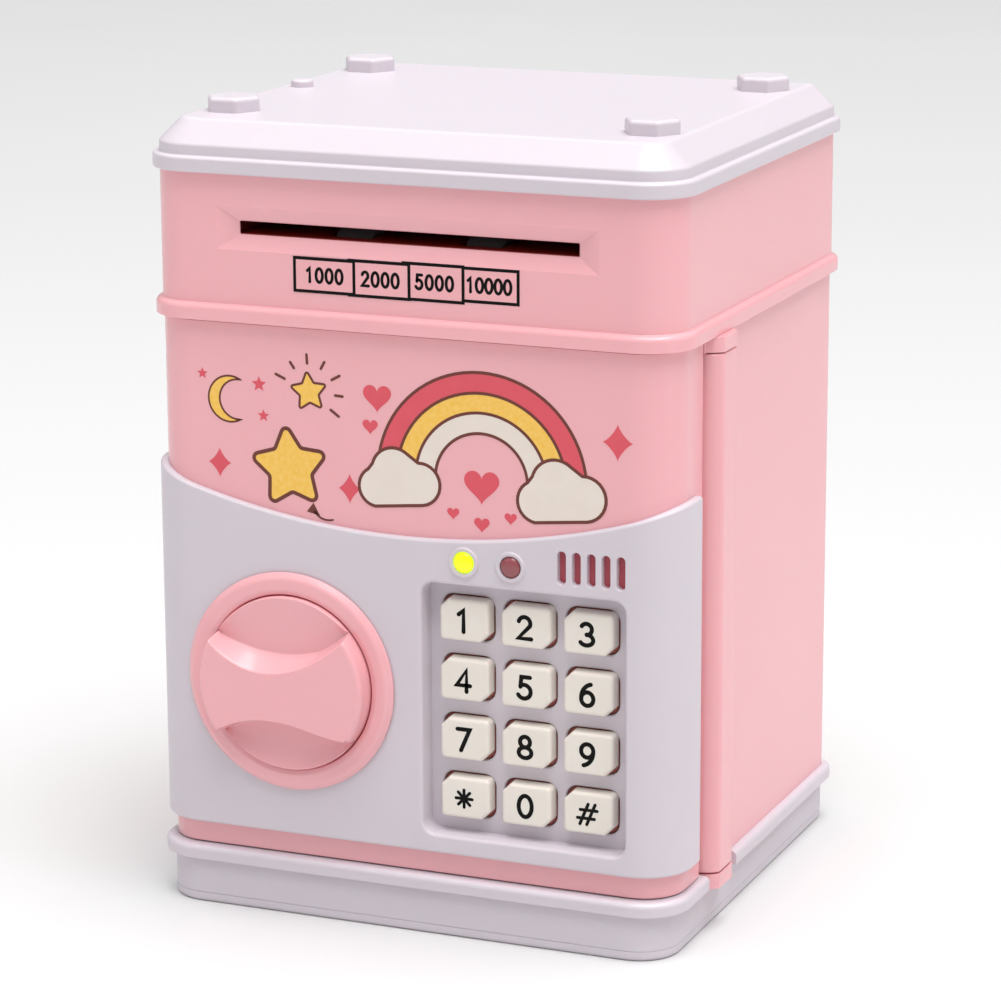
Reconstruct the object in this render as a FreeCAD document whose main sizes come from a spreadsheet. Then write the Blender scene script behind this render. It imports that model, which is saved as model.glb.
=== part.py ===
import FreeCAD, Part
import Sketcher
import math
import os
import re

# Toy safe coin bank: a box-shaped money box with a hinged front door, a keypad, a turning
# knob that drives a lock bolt, and a motor-driven banknote feeder in the head.
# Millimetres. +Z up, the front faces -Y, the origin is the middle of the base's underside.

Vector = FreeCAD.Vector
doc = FreeCAD.newDocument("ToySafe")
sheet = doc.addObject("Spreadsheet::Sheet", "Sizes")

# ---------------------------------------------------------------- driving dimensions
SIZES = [
    # overall shell
    ("shell_wide", 129.0, "width of the head, flat to flat"),
    ("shell_deep", 116.4, "depth of the head, flat to flat"),
    ("front_round", 10.0, "radius of the two front upright corners"),
    ("rear_round", 6.0, "radius of the two rear upright corners"),
    ("wall", 2.2, "wall of the body, head, cap and base"),
    ("lip_proud", 1.6, "how far the mid ring and the cap lip stand out"),
    ("shell_inset", 0.35, "how far the body and door stand in from the head"),
    # heights, one on top of the other
    ("base_tall", 11.0, "base, floor to the underside of its lip"),
    ("base_lip_tall", 3.2, "rounded lip round the top of the base"),
    ("body_tall", 126.45, "body, base lip to mid ring"),
    ("ring_tall", 3.85, "mid ring round the foot of the head"),
    ("head_tall", 30.1, "head, mid ring to cap lip"),
    ("cap_lip_tall", 3.6, "rounded lip round the cap"),
    ("cap_wall_tall", 2.5, "upright wall above the cap lip"),
    ("cap_bevel_tall", 5.4, "sloping edge of the cap"),
    ("hex_tall", 3.4, "moulded hexagonal bolt heads on the cap"),
    # base
    ("base_step", 1.9, "how far the base stands in front of the head"),
    ("base_inset", 0.75, "how far the sides of the base stand in from the head"),
    ("base_lip_proud", 1.2, "how far the base lip stands out in front"),
    ("plate_thick", 2.4, "bottom plate and battery cover"),
    ("box_wide", 50.0, "battery box, inside width"),
    ("box_deep", 58.0, "battery box, inside depth"),
    ("box_rear_gap", 12.0, "battery box to the rear wall's inner face"),
    ("cell_radius", 7.1, "round dry cell"),
    ("cell_long", 50.0, "round dry cell, with its nub"),
    ("cell_pitch", 15.6, "spacing of the three cells"),
    # hinge
    ("hinge_set_in", 1.6, "pin axis inside the body's side face"),
    ("hinge_back", 28.2, "pin axis behind the front face of the door"),
    ("barrel_radius", 6.6, "round of the hinge barrel"),
    ("barrel_flat", 5.1, "flat outer face of the barrel, from the pin axis"),
    ("lug_tall", 3.5, "hinge lug height"),
    ("pin_radius", 1.5, "hinge pin"),
    ("pin_long", 12.0, "hinge pin"),
    ("run_gap", 0.3, "clearance between parts that move past each other"),
    ("shaft_gap", 0.05, "radial clearance of a shaft in its hole"),
    # door
    ("door_gap", 0.4, "gap above and below the door"),
    ("door_wall", 2.0, "wall of the door panel"),
    ("door_thick", 19.2, "front face of the door to the rear edge of its skirt"),
    ("back_cover_thick", 2.0, "plate that closes the back of the door"),
    ("stop_gap", 0.8, "gap between the door's rear edge and the body"),
    ("stop_wide", 6.0, "stop rib inside the left wall"),
    ("stop_thick", 2.2, "stop rib inside the left wall"),
    # fascia
    ("fascia_proud", 1.85, "fascia, thickness in front of the door"),
    ("fascia_wrap", 16.3, "fascia, front face to the rear edge of its side flaps"),
    ("fascia_low", 5.6, "fascia's lower edge above the base lip"),
    ("fascia_high", 74.4, "fascia, lower edge to the middle of its upper edge"),
    ("fascia_arc", 190.0, "radius of the fascia's hollow upper edge"),
    # knob
    ("knob_off", 28.7, "knob axis left of the middle"),
    ("knob_up", 43.0, "knob axis above the base lip"),
    ("ring_radius", 26.1, "knob ring, outside"),
    ("ring_bore", 21.0, "knob ring, inside"),
    ("ring_proud", 1.9, "knob ring, height on the fascia"),
    ("knob_rim", 2.0, "knob's rim in front of the ring"),
    ("knob_crown", 3.0, "crown of the grip in front of the rim"),
    ("grip_waist", 10.0, "grip, at its narrowest"),
    ("grip_hollow", 24.0, "radius of the hollows each side of the grip"),
    ("grip_tilt", -7.0, "degrees that the grip leans to the right of upright"),
    ("hollow_deep", 5.0, "depth of the hollows from the crown"),
    ("shaft_radius", 5.0, "knob shaft"),
    # keypad
    ("pad_left", 4.15, "keypad recess, left edge from the middle"),
    ("pad_wide", 49.6, "keypad recess"),
    ("pad_tall", 60.0, "keypad recess"),
    ("pad_low", 10.1, "keypad recess, lower edge above the base lip"),
    ("pad_deep", 5.2, "keypad recess, from the fascia's face"),
    ("pad_wall", 1.5, "wall of the keypad recess"),
    ("key_margin_x", 3.5, "outer key to the side of the keypad recess"),
    ("key_margin_z", 3.85, "outer key to the end of the keypad recess"),
    ("key_space_x", 2.85, "gap between two keys side by side"),
    ("key_space_z", 4.1, "gap between two keys one above the other"),
    ("key_cut", 2.3, "cut-off corners of a key"),
    ("key_sunk", 2.2, "key tops below the fascia's face"),
    ("key_gap", 0.5, "gap round a key"),
    ("key_travel", 1.4, "how far a key is pressed"),
    # lights and speaker
    ("lens_radius", 2.35, "indicator lens"),
    ("light_rim", 1.15, "raised ring round an indicator lens, outside to inside"),
    ("light_rim_tall", 0.6, "raised ring round an indicator lens"),
    ("voice_wide", 0.6, "sound slot in the door behind each speaker slit"),
    ("light_left", 14.9, "green light from the middle"),
    ("light_pitch", 11.4, "green light to red light"),
    ("light_up", 75.6, "lights above the base lip"),
    ("slit_left", 38.5, "first speaker slit from the middle"),
    ("slit_pitch", 3.54, "spacing of the speaker slits"),
    ("slit_wide", 2.0, "speaker slit"),
    ("slit_tall", 7.7, "speaker slit"),
    ("slit_up", 76.55, "middle of the slits above the base lip"),
    ("speaker_radius", 9.0, "speaker"),
    # lock
    ("pinion_module", 1.0, "tooth size of the lock's pinion and rack"),
    ("pinion_teeth", 16, "teeth of the lock's pinion"),
    ("lock_thick", 5.0, "pinion and bolt, front to back"),
    ("bolt_tall", 7.0, "lock bolt above its teeth"),
    ("bolt_long", 44.0, "lock bolt"),
    ("bolt_reach", 19.8, "bolt tip to the left of the knob axis, unlocked"),
    ("plunger_radius", 2.0, "lock plunger"),
    ("plunger_travel", 3.0, "lock plunger"),
    # banknote feeder
    ("slot_wide", 82.8, "banknote slot"),
    ("slot_tall", 3.0, "banknote slot"),
    ("slot_up", 17.7, "middle of the slot above the mid ring's upper edge"),
    ("frame_wide", 93.2, "bevelled frame of the slot"),
    ("frame_tall", 10.0, "bevelled frame of the slot"),
    ("frame_deep", 1.9, "bevelled frame of the slot"),
    ("guide_deep", 26.0, "banknote guide, front to back"),
    ("guide_thick", 2.0, "floor plate of the banknote guide"),
    ("roof_thick", 1.0, "roof plate of the banknote guide, under the pressure shaft"),
    ("cheek_thick", 2.5, "side plates of the banknote guide"),
    ("roller_radius", 5.0, "driven roller"),
    ("idler_radius", 4.0, "pressure roller"),
    ("roller_wide", 9.0, "rollers"),
    ("roller_off", 16.0, "rollers left and right of the middle"),
    ("roller_back", 12.2, "roller axis behind the head's front face"),
    ("axle_radius", 1.5, "roller shafts"),
    ("feed_module", 0.8, "tooth size of the feed gears"),
    ("feed_teeth", 20, "teeth of the driven feed gear"),
    ("motor_teeth", 10, "teeth of the motor pinion"),
    ("gear_thick", 4.0, "feed gears"),
    ("motor_radius", 6.8, "feed motor"),
    ("motor_long", 24.0, "feed motor"),
    # head openings and bolts on the cap
    ("coin_wide", 32.0, "coin slot in the rear of the head"),
    ("coin_tall", 4.8, "coin slot in the rear of the head"),
    ("drop_wide", 84.0, "opening under the banknote guide"),
    ("drop_deep", 66.0, "opening under the banknote guide"),
    ("hex_flats", 11.6, "moulded bolt heads, across flats"),
    ("hex_in_x", 13.0, "bolt heads in from the sides"),
    ("hex_in_y", 20.2, "bolt heads in from front and rear"),
    ("stud_radius", 2.7, "small round stud on the cap"),
    ("stud_tall", 2.2, "small round stud on the cap"),
    ("stud_in_x", 10.5, "stud in from the left side"),
    ("stud_back", 4.0, "stud behind the middle"),
    ("sunk", 0.5, "how far one feature runs into the piece it stands on"),
    ("boss_in", 8.5, "screw bosses in from the outer faces"),
    ("boss_radius", 3.4, "screw bosses"),
    ("screw_radius", 1.25, "screws"),
    ("screw_head", 2.6, "screw heads"),
]
NAMES = [name for name, number, note in SIZES]
sheet.set("A1", "Size")
sheet.set("B1", "mm")
sheet.set("C1", "What it is")
for row, (name, number, note) in enumerate(SIZES, start=2):
    sheet.set(f"A{row}", name)
    sheet.set(f"B{row}", str(number))
    sheet.setAlias(f"B{row}", name)
    sheet.set(f"C{row}", note)
doc.recompute()


# ---------------------------------------------------------------- ways of making a piece
def spell(formula):
    """Write a formula of size names the way an object's expression needs it."""
    def full(match):
        word = match.group(0)
        return "Sizes." + word if word in NAMES else word
    return re.sub(r"[A-Za-z_][A-Za-z_0-9]*", full, str(formula))


def tie(thing, prop, formula):
    thing.setExpression(prop, spell(formula))


def number(formula):
    """The value of a formula of size names."""
    return float(sheet.evalExpression(re.sub(r"Sizes\.", "", spell(formula))))


def place(thing, x, y, z, turn=None):
    if turn is not None:
        thing.Placement = FreeCAD.Placement(Vector(0, 0, 0), turn)
    tie(thing, "Placement.Base.x", x)
    tie(thing, "Placement.Base.y", y)
    tie(thing, "Placement.Base.z", z)


def block(label, x0, x1, y0, y1, z0, z1):
    thing = doc.addObject("Part::Box", label)
    tie(thing, "Length", f"({x1}) - ({x0})")
    tie(thing, "Width", f"({y1}) - ({y0})")
    tie(thing, "Height", f"({z1}) - ({z0})")
    place(thing, x0, y0, z0)
    return thing


TURNS = {
    "x": FreeCAD.Rotation(Vector(0, 1, 0), 90),
    "y": FreeCAD.Rotation(Vector(1, 0, 0), -90),
    "z": FreeCAD.Rotation(),
}


def rod(label, radius, axis, x, y, z, length):
    """A cylinder that starts at a point and runs along +X, +Y or +Z."""
    thing = doc.addObject("Part::Cylinder", label)
    tie(thing, "Radius", radius)
    tie(thing, "Height", length)
    place(thing, x, y, z, TURNS[axis])
    return thing


def join(label, *pieces):
    thing = doc.addObject("Part::MultiFuse", label)
    thing.Shapes = list(pieces)
    thing.Refine = True
    return thing


def cut(label, base, *tools):
    thing = doc.addObject("Part::Cut", label)
    thing.Base = base
    thing.Tool = tools[0] if len(tools) == 1 else join(label + "_cuts", *tools)
    return thing


def common(label, first, second):
    thing = doc.addObject("Part::Common", label)
    thing.Base = first
    thing.Tool = second
    return thing


def plane_of(body, role):
    return next(item for item in body.Origin.OriginFeatures if item.Role == role)


def start_sketch(body, role, level):
    sketch = body.newObject("Sketcher::SketchObject", body.Name + "_sketch")
    sketch.AttachmentSupport = [(plane_of(body, role), "")]
    sketch.MapMode = "FlatFace"
    tie(sketch, "AttachmentOffset.Base.z", level)
    return sketch


def locate(sketch, kind, shape, point, formula):
    """Hold one coordinate of a sketch point at a formula's value from the sketch's origin."""
    held = sketch.addConstraint(
        Sketcher.Constraint(kind, -1, 1, shape, point, number(formula)))
    tie(sketch, f"Constraints[{held}]", formula)


def pad(body, sketch, length):
    thing = body.newObject("PartDesign::Pad", body.Name + "_pad")
    thing.Profile = sketch
    tie(thing, "Length", length)
    doc.recompute()
    return thing


def round_slab(label, role, level, length, left, right, low, high, radii):
    """A pad of a rectangle with rounded corners: low-left, low-right, high-right, high-left."""
    body = doc.addObject("PartDesign::Body", label)
    sketch = start_sketch(body, role, level)
    x0, x1, y0, y1 = (number(side) for side in (left, right, low, high))
    r = [number(radius) for radius in radii]
    corners = [
        (Vector(x0 + r[0], y0 + r[0], 0), math.pi),
        (Vector(x1 - r[1], y0 + r[1], 0), 1.5 * math.pi),
        (Vector(x1 - r[2], y1 - r[2], 0), 0.0),
        (Vector(x0 + r[3], y1 - r[3], 0), 0.5 * math.pi),
    ]
    arcs = []
    for (centre, start), radius in zip(corners, r):
        circle = Part.Circle(centre, Vector(0, 0, 1), radius)
        arcs.append(sketch.addGeometry(Part.ArcOfCircle(circle, start, start + 0.5 * math.pi)))
    lines = []
    for first, second in ((0, 1), (1, 2), (2, 3), (3, 0)):
        begin = sketch.Geometry[arcs[first]].EndPoint
        end = sketch.Geometry[arcs[second]].StartPoint
        lines.append(sketch.addGeometry(Part.LineSegment(begin, end)))
    for index, line in enumerate(lines):
        following = arcs[(index + 1) % 4]
        sketch.addConstraint(Sketcher.Constraint("Tangent", arcs[index], 2, line, 1))
        sketch.addConstraint(Sketcher.Constraint("Tangent", line, 2, following, 1))
    for line in (lines[0], lines[2]):
        sketch.addConstraint(Sketcher.Constraint("Horizontal", line))
    for line in (lines[1], lines[3]):
        sketch.addConstraint(Sketcher.Constraint("Vertical", line))
    for arc, radius in zip(arcs, radii):
        held = sketch.addConstraint(Sketcher.Constraint("Radius", arc, number(radius)))
        tie(sketch, f"Constraints[{held}]", radius)
    locate(sketch, "DistanceY", lines[0], 1, low)
    locate(sketch, "DistanceX", lines[1], 1, right)
    locate(sketch, "DistanceY", lines[2], 1, high)
    locate(sketch, "DistanceX", lines[3], 1, left)
    pad(body, sketch, length)
    return body


def outline_slab(label, role, level, length, points):
    """A pad of a straight-sided outline whose corners are pairs of formulas."""
    body = doc.addObject("PartDesign::Body", label)
    sketch = start_sketch(body, role, level)
    spots = [Vector(number(x), number(y), 0) for x, y in points]
    count = len(points)
    for index in range(count):
        sketch.addGeometry(Part.LineSegment(spots[index], spots[(index + 1) % count]))
    for index in range(count):
        following = (index + 1) % count
        sketch.addConstraint(Sketcher.Constraint("Coincident", index, 2, following, 1))
    for index, (x, y) in enumerate(points):
        locate(sketch, "DistanceX", index, 1, x)
        locate(sketch, "DistanceY", index, 1, y)
    pad(body, sketch, length)
    return body


def face_name(feature, direction):
    """The name of the feature's flat face that lies furthest along a direction."""
    faces = feature.Shape.Faces
    best = max(range(len(faces)), key=lambda n: faces[n].CenterOfMass.dot(direction))
    return f"Face{best + 1}"


def soften(body, kind, direction, prop, size):
    """Fillet or chamfer all edges of the body's end face in one direction."""
    feature = body.Tip
    edge = body.newObject("PartDesign::" + kind, body.Name + "_" + kind.lower())
    edge.Base = (feature, [face_name(feature, direction)])
    tie(edge, prop, size)
    doc.recompute()
    return edge


def ring_of(label, axis, outer, inner, x, y, z, length):
    return cut(label, rod(label + "_disc", outer, axis, x, y, z, length),
               rod(label + "_hole", inner, axis, x, y, z, length))


NODES = []


def keep(label, thing):
    """Name a finished piece; its label names its file."""
    thing.Label = label
    NODES.append(thing)
    return thing


UP = Vector(0, 0, 1)
DOWN = Vector(0, 0, -1)
FRONT = Vector(0, -1, 0)

# ---------------------------------------------------------------- levels and faces
half_wide = "shell_wide / 2"
half_deep = "shell_deep / 2"
side = f"({half_wide} - shell_inset)"            # outer face of the body's and door's sides
front = f"(-{half_deep})"                        # front face of the head and door
rear = f"({half_deep})"
body_z = "(base_tall + base_lip_tall)"           # underside of the body and door gap
ring_z = f"({body_z} + body_tall)"
head_z = f"({ring_z} + ring_tall)"
cap_z = f"({head_z} + head_tall)"
cap_wall_z = f"({cap_z} + cap_lip_tall)"
cap_bevel_z = f"({cap_wall_z} + cap_wall_tall)"
cap_top_z = f"({cap_bevel_z} + cap_bevel_tall)"
door_z = f"({body_z} + door_gap)"
door_top_z = f"({ring_z} - door_gap)"
door_rear = f"({front} + door_thick)"            # rear edge of the door's skirt
fascia_y = f"({front} - fascia_proud)"
hinge_x = f"({side} - hinge_set_in)"
hinge_y = f"({front} + hinge_back)"
shell_radii = ["front_round", "front_round", "rear_round", "rear_round"]


def inside(radii, amount):
    return [f"{radius} - {amount}" for radius in radii]


def grown(radii, amount):
    return [f"{radius} + {amount}" for radius in radii]


# ---------------------------------------------------------------- base
base_side = f"({half_wide} - base_inset)"
base_front = f"({front} - base_step)"
base_rear = f"({rear} + lip_proud - base_lip_proud)"
base_block = round_slab("base_block", "XY_Plane", "plate_thick", "base_tall - plate_thick",
                        f"-{base_side}", base_side, base_front, base_rear, shell_radii)
lip_side = f"({half_wide} + lip_proud)"
lip_front = f"({base_front} - base_lip_proud)"
lip_rear = f"({rear} + lip_proud)"
base_lip = round_slab("base_lip", "XY_Plane", "base_tall", "base_lip_tall",
                      f"-{lip_side}", lip_side, lip_front, lip_rear,
                      grown(shell_radii, "base_lip_proud"))
soften(base_lip, "Fillet", UP, "Radius", "base_lip_tall * 0.4")
base_hollow = round_slab("base_hollow", "XY_Plane", "0", f"{body_z} - wall",
                         f"-{base_side} + wall", f"{base_side} - wall",
                         f"{base_front} + wall", f"{base_rear} - wall",
                         inside(shell_radii, "wall"))
box_rear = f"({rear} - wall - box_rear_gap)"
box_front = f"({box_rear} - box_deep)"
box_half = "(box_wide / 2)"
box_top = "(plate_thick + 2 * cell_radius + 2 * run_gap)"
box_shell = block("box_shell", f"-{box_half} - wall", f"{box_half} + wall",
                  f"{box_front} - wall", f"{box_rear} + wall",
                  "plate_thick", f"{box_top} + wall")
box_room = block("box_room", f"-{box_half}", box_half, box_front, box_rear,
                 "-1", box_top)
lug_front = f"({hinge_y} - barrel_radius - run_gap)"
lug_rear = f"({hinge_y} + barrel_radius + 5)"
lug_notch = block("lug_notch", f"{side} - wall - 1.4", f"{lip_side} + 1",
                  lug_front, f"{lug_rear} + run_gap", f"{body_z} - lug_tall", f"{body_z} + 1")
base_boss_spots = [(f"{sign_x} * ({half_wide} - boss_in)", f"{sign_y} * ({half_deep} - boss_in)")
                   for sign_x in (-1, 1) for sign_y in (-1, 1)]


def bosses(label, spots, low, high):
    return [rod(f"{label}_{index}", "boss_radius", "z", x, y, low, f"({high}) - ({low})")
            for index, (x, y) in enumerate(spots)]


def boss_holes(label, spots, low, high, radius="screw_radius"):
    return [rod(f"{label}_{index}", radius, "z", x, y, low, f"({high}) - ({low})")
            for index, (x, y) in enumerate(spots)]


base_outer = cut("base_outer", join("base_solid", base_block, base_lip), base_hollow)
base_frame = join("base_frame", base_outer, box_shell,
                  *bosses("base_boss", base_boss_spots, "plate_thick", f"{body_z} - wall"))
cover_screw_y = f"({box_front} + 3.2)"
cover_boss = ring_of("cover_boss", "z", "screw_radius + 1.35", "screw_radius", "0", cover_screw_y,
                     "plate_thick * 0.5", f"{box_top} - plate_thick * 0.5 + 0.2")
base_open = cut("base_open", base_frame, box_room, lug_notch,
                *boss_holes("base_boss_hole", base_boss_spots, "-1", f"{body_z} - 3"))
keep("base_tray", join("base_tray", base_open, cover_boss))

plate_solid = round_slab("plate_solid", "XY_Plane", "0", "plate_thick",
                         f"-{base_side}", base_side, base_front, base_rear, shell_radii)
soften(plate_solid, "Fillet", DOWN, "Radius", "plate_thick * 0.4")
hatch = block("hatch", f"-{box_half} - 2", f"{box_half} + 2", f"{box_front} - 2", f"{box_rear} + 2",
              "-1", "plate_thick * 0.5")
hatch_room = block("hatch_room", f"-{box_half}", box_half, box_front, box_rear,
                   "-1", "plate_thick + 1")
plate_heads = boss_holes("plate_head", base_boss_spots, "-1", "plate_thick * 0.6", "screw_head + 0.2")
keep("base_plate", cut("base_plate", plate_solid, hatch, hatch_room, *plate_heads,
                       *boss_holes("plate_hole", base_boss_spots, "-1", "plate_thick + 1",
                                   "screw_radius + 0.2")))


def screws(label, spots, under_head, length, head_tall, head_sign):
    """Upright screws with their heads below (-1) or above (+1) the given level."""
    pieces = []
    for index, (x, y) in enumerate(spots):
        head_low = under_head if head_sign > 0 else f"({under_head}) - {head_tall}"
        shank_low = f"({under_head}) - {length}" if head_sign > 0 else under_head
        head = rod(f"{label}_head_{index}", "screw_head", "z", x, y, head_low, head_tall)
        shank = rod(f"{label}_shank_{index}", "screw_radius - 0.05", "z", x, y, shank_low, length)
        pieces.append(join(f"{label}_one_{index}", head, shank))
    return doc_group(label, pieces)


def doc_group(label, pieces):
    """Like pieces that share one node, as separate solids."""
    thing = doc.addObject("Part::Compound", label)
    thing.Links = pieces
    return thing


keep("base_screws", screws("base_screws", base_boss_spots, "plate_thick * 0.6", "9.0", "1.2", -1))

# battery cover, with its screw into a boss beside the cells
cover_solid = block("cover_solid", f"-{box_half} - 1.7", f"{box_half} + 1.7",
                    f"{box_front} - 1.7", f"{box_rear} + 1.7", "0", "plate_thick * 0.5")
cover_sink = rod("cover_sink", "screw_head + 0.2", "z", "0", cover_screw_y, "-1", "1.6")
cover_hole = rod("cover_hole", "screw_radius + 0.15", "z", "0", cover_screw_y, "-1", "4")
cover_grips = [block(f"cover_grip_{index}", "-9", "9", f"{box_rear} - 8 - {2.4 * index}",
                     f"{box_rear} - 6.8 - {2.4 * index}", "-1", "0.4") for index in range(4)]
keep("battery_cover", cut("battery_cover", cover_solid, cover_sink, cover_hole, *cover_grips))
cover_head = rod("cover_head", "screw_head", "z", "0", cover_screw_y, "0.1", "0.5")
cover_shank = rod("cover_shank", "screw_radius - 0.05", "z", "0", cover_screw_y, "0.1", "5.5")
keep("battery_cover_screw", join("battery_cover_screw", cover_head, cover_shank))

cell_front = f"({box_rear} - cell_long - 1.5)"
cells = []
for index in range(3):
    cell_x = f"cell_pitch * {index - 1}"
    cell_y = cell_front
    nub_y = f"{cell_front} + cell_long - 1.5"
    can = rod(f"cell_can_{index}", "cell_radius", "y", cell_x, cell_y,
              "plate_thick + cell_radius + run_gap", "cell_long - 1.5")
    nub = rod(f"cell_nub_{index}", "2.7", "y", cell_x, nub_y,
              "plate_thick + cell_radius + run_gap", "1.5")
    cells.append(join(f"cell_{index}", can, nub))
keep("battery_cells", doc_group("battery_cells", cells))
contacts = [block(f"contact_{index}", f"cell_pitch * {index - 1} - 5", f"cell_pitch * {index - 1} + 5",
                  f"{box_rear} - 0.8", f"{box_rear} - 0.2", "plate_thick + 2", f"{box_top} - 2")
            for index in range(3)]
keep("battery_contacts", doc_group("battery_contacts", contacts))

# ---------------------------------------------------------------- body shell
body_outer = round_slab("body_outer", "XY_Plane", body_z, "body_tall",
                        f"-{side}", side, front, rear, shell_radii)
body_hollow = round_slab("body_hollow", "XY_Plane", f"{body_z} - 1", "body_tall + 2",
                         f"-{side} + wall", f"{side} - wall", f"{front} + wall", f"{rear} - wall",
                         inside(shell_radii, "wall"))
body_front = f"({door_rear} + stop_gap)"
front_room = block("front_room", "-shell_wide", "shell_wide", "-shell_deep", body_front,
                   f"{body_z} - 1", f"{ring_z} + 1")
lug_top_z = f"({ring_z} - lug_tall)"
lug_low_z = f"({body_z} - lug_tall)"
barrel_z = f"({body_z} + run_gap)"
barrel_top_z = f"({lug_top_z} - run_gap)"
barrel_slot = block("barrel_slot", f"{side} - wall - 2", f"{side} + 1", "-shell_deep",
                    f"{hinge_y} + barrel_radius + 2 * run_gap", f"{body_z} - 1", lug_top_z)
body_walls = cut("body_walls", body_outer, body_hollow, front_room, barrel_slot)
stop_rib = block("stop_rib", f"-{side} + wall - 0.5", f"-{side} + wall + stop_wide",
                 body_front, f"{body_front} + stop_thick", body_z, ring_z)


def hinge_disc(label, low, high):
    """The hinge's round section with a flat outer face."""
    disc = rod(label + "_disc", "barrel_radius", "z", hinge_x, hinge_y, low, f"({high}) - ({low})")
    box = block(label + "_box", f"{hinge_x} - 2 * barrel_radius", f"{hinge_x} + barrel_flat",
                f"{hinge_y} - 2 * barrel_radius", f"{hinge_y} + 2 * barrel_radius", low, high)
    return common(label, disc, box)


lug_low = hinge_disc("lug_low", lug_low_z, f"{body_z}")
lug_low_web = block("lug_low_web", f"{side} - wall", side, hinge_y, lug_rear, lug_low_z, f"{body_z} + 0.5")
lug_low_trim = block("lug_low_trim", f"{side} - wall - 1", f"{side} + 1", f"{hinge_y} - 1",
                     f"{hinge_y} + barrel_radius + 2 * run_gap", body_z, f"{body_z} + 1")
lug_top = hinge_disc("lug_top", lug_top_z, ring_z)
lug_top_web = block("lug_top_web", f"{side} - wall", side, f"{hinge_y} - 5", lug_rear, lug_top_z, ring_z)
lug_bore = rod("lug_bore", "pin_radius", "z", hinge_x, hinge_y, "0", ring_z)
low_inner_trim = block("low_inner_trim", "0", f"{side} - wall - 1", "-shell_deep", lug_rear,
                       lug_low_z, body_z)
low_lugs = cut("low_lugs", join("low_lug_set", lug_low, lug_low_web), lug_low_trim, low_inner_trim)
rear_boss_spots = [(f"{sign} * ({half_wide} - boss_in)", f"{half_deep} - boss_in") for sign in (-1, 1)]
front_boss_spots = [(f"{sign} * ({half_wide} - boss_in)", f"{hinge_y} + barrel_radius + 12")
                    for sign in (-1, 1)]
body_boss_spots = rear_boss_spots + front_boss_spots
body_boss_low = f"({ring_z} - 14)"
body_bosses = []
for index, (sign, (x, y)) in enumerate(zip((-1, 1, -1, 1), body_boss_spots)):
    inner = f"{sign} * ({half_wide} - boss_in - boss_radius)"
    outer = f"{sign} * ({side} - 0.5)"
    low_x, high_x = (outer, inner) if sign < 0 else (inner, outer)
    body_bosses.append(block(f"body_boss_{index}", low_x, high_x, f"{y} - boss_radius",
                             f"{y} + boss_radius", body_boss_low, ring_z))
body_solid = join("body_solid", body_walls, stop_rib, low_lugs, lug_top, lug_top_web, *body_bosses)
keep("body_shell", cut("body_shell", body_solid, lug_bore,
                       *boss_holes("body_boss_hole", body_boss_spots, f"{ring_z} - 11", f"{ring_z} + 1")))

pin_low = rod("pin_low", "pin_radius", "z", hinge_x, hinge_y, lug_low_z, "pin_long")
pin_top = rod("pin_top", "pin_radius", "z", hinge_x, hinge_y, f"{ring_z} - pin_long", "pin_long")
keep("hinge_pins", doc_group("hinge_pins", [pin_low, pin_top]))

# ---------------------------------------------------------------- head
head_side = f"({half_wide})"
mid_ring = round_slab("mid_ring", "XY_Plane", ring_z, "ring_tall",
                      f"-{lip_side}", lip_side, f"{front} - lip_proud", lip_rear,
                      grown(shell_radii, "lip_proud"))
soften(mid_ring, "Fillet", UP, "Radius", "ring_tall * 0.35")
head_block = round_slab("head_block", "XY_Plane", ring_z, "ring_tall + head_tall",
                        f"-{head_side}", head_side, front, rear, shell_radii)
deck_thick = "2.0"
head_hollow = round_slab("head_hollow", "XY_Plane", f"{ring_z} + {deck_thick}",
                         f"ring_tall + head_tall - {deck_thick} + 1",
                         f"-{head_side} + wall", f"{head_side} - wall",
                         f"{front} + wall", f"{rear} - wall", inside(shell_radii, "wall"))
deck_z = f"({ring_z} + {deck_thick})"
slot_z = f"({head_z} + slot_up)"
guide_front = f"({front} + wall + 0.5)"
guide_rear = f"({guide_front} + guide_deep)"
drop_front = f"({guide_rear} + 1.5)"
drop = block("drop", "-drop_wide / 2", "drop_wide / 2", drop_front, f"{drop_front} + drop_deep",
             f"{ring_z} - 1", f"{deck_z} + 1")
slot_cut = block("slot_cut", "-slot_wide / 2", "slot_wide / 2", f"{front} - 1", f"{front} + wall + 1",
                 f"{slot_z} - slot_tall / 2", f"{slot_z} + slot_tall / 2")
frame_cut = doc.addObject("Part::Wedge", "frame_cut")
for prop, formula in (
        ("Xmin", "-frame_wide / 2"), ("Xmax", "frame_wide / 2"),
        ("X2min", "-slot_wide / 2"), ("X2max", "slot_wide / 2"),
        ("Ymin", "0"), ("Ymax", "frame_deep"),
        ("Zmin", "-frame_tall / 2"), ("Zmax", "frame_tall / 2"),
        ("Z2min", "-slot_tall / 2"), ("Z2max", "slot_tall / 2")):
    tie(frame_cut, prop, formula)
place(frame_cut, "0", front, slot_z)
coin_z = f"({head_z} + 16)"
coin_cut = block("coin_cut", "-coin_wide / 2", "coin_wide / 2", f"{rear} - wall - 1", f"{rear} + 1",
                 f"{coin_z} - coin_tall / 2", f"{coin_z} + coin_tall / 2")
deck_holes = boss_holes("deck_hole", body_boss_spots, f"{ring_z} - 1", f"{deck_z} + 1", "screw_radius + 0.2")
cap_boss_spots = [(f"{sign_x} * ({half_wide} - boss_in)", f"{sign_y} * ({half_deep} - boss_in) + {shift}")
                  for sign_x in (-1, 1) for sign_y, shift in ((-1, "0"), (1, "-14"))]
cap_holes = boss_holes("cap_hole", cap_boss_spots, f"{ring_z} - 1", f"{deck_z} + 1", "screw_radius + 0.2")
cap_head_z = f"({ring_z} + 1.1)"
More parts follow.
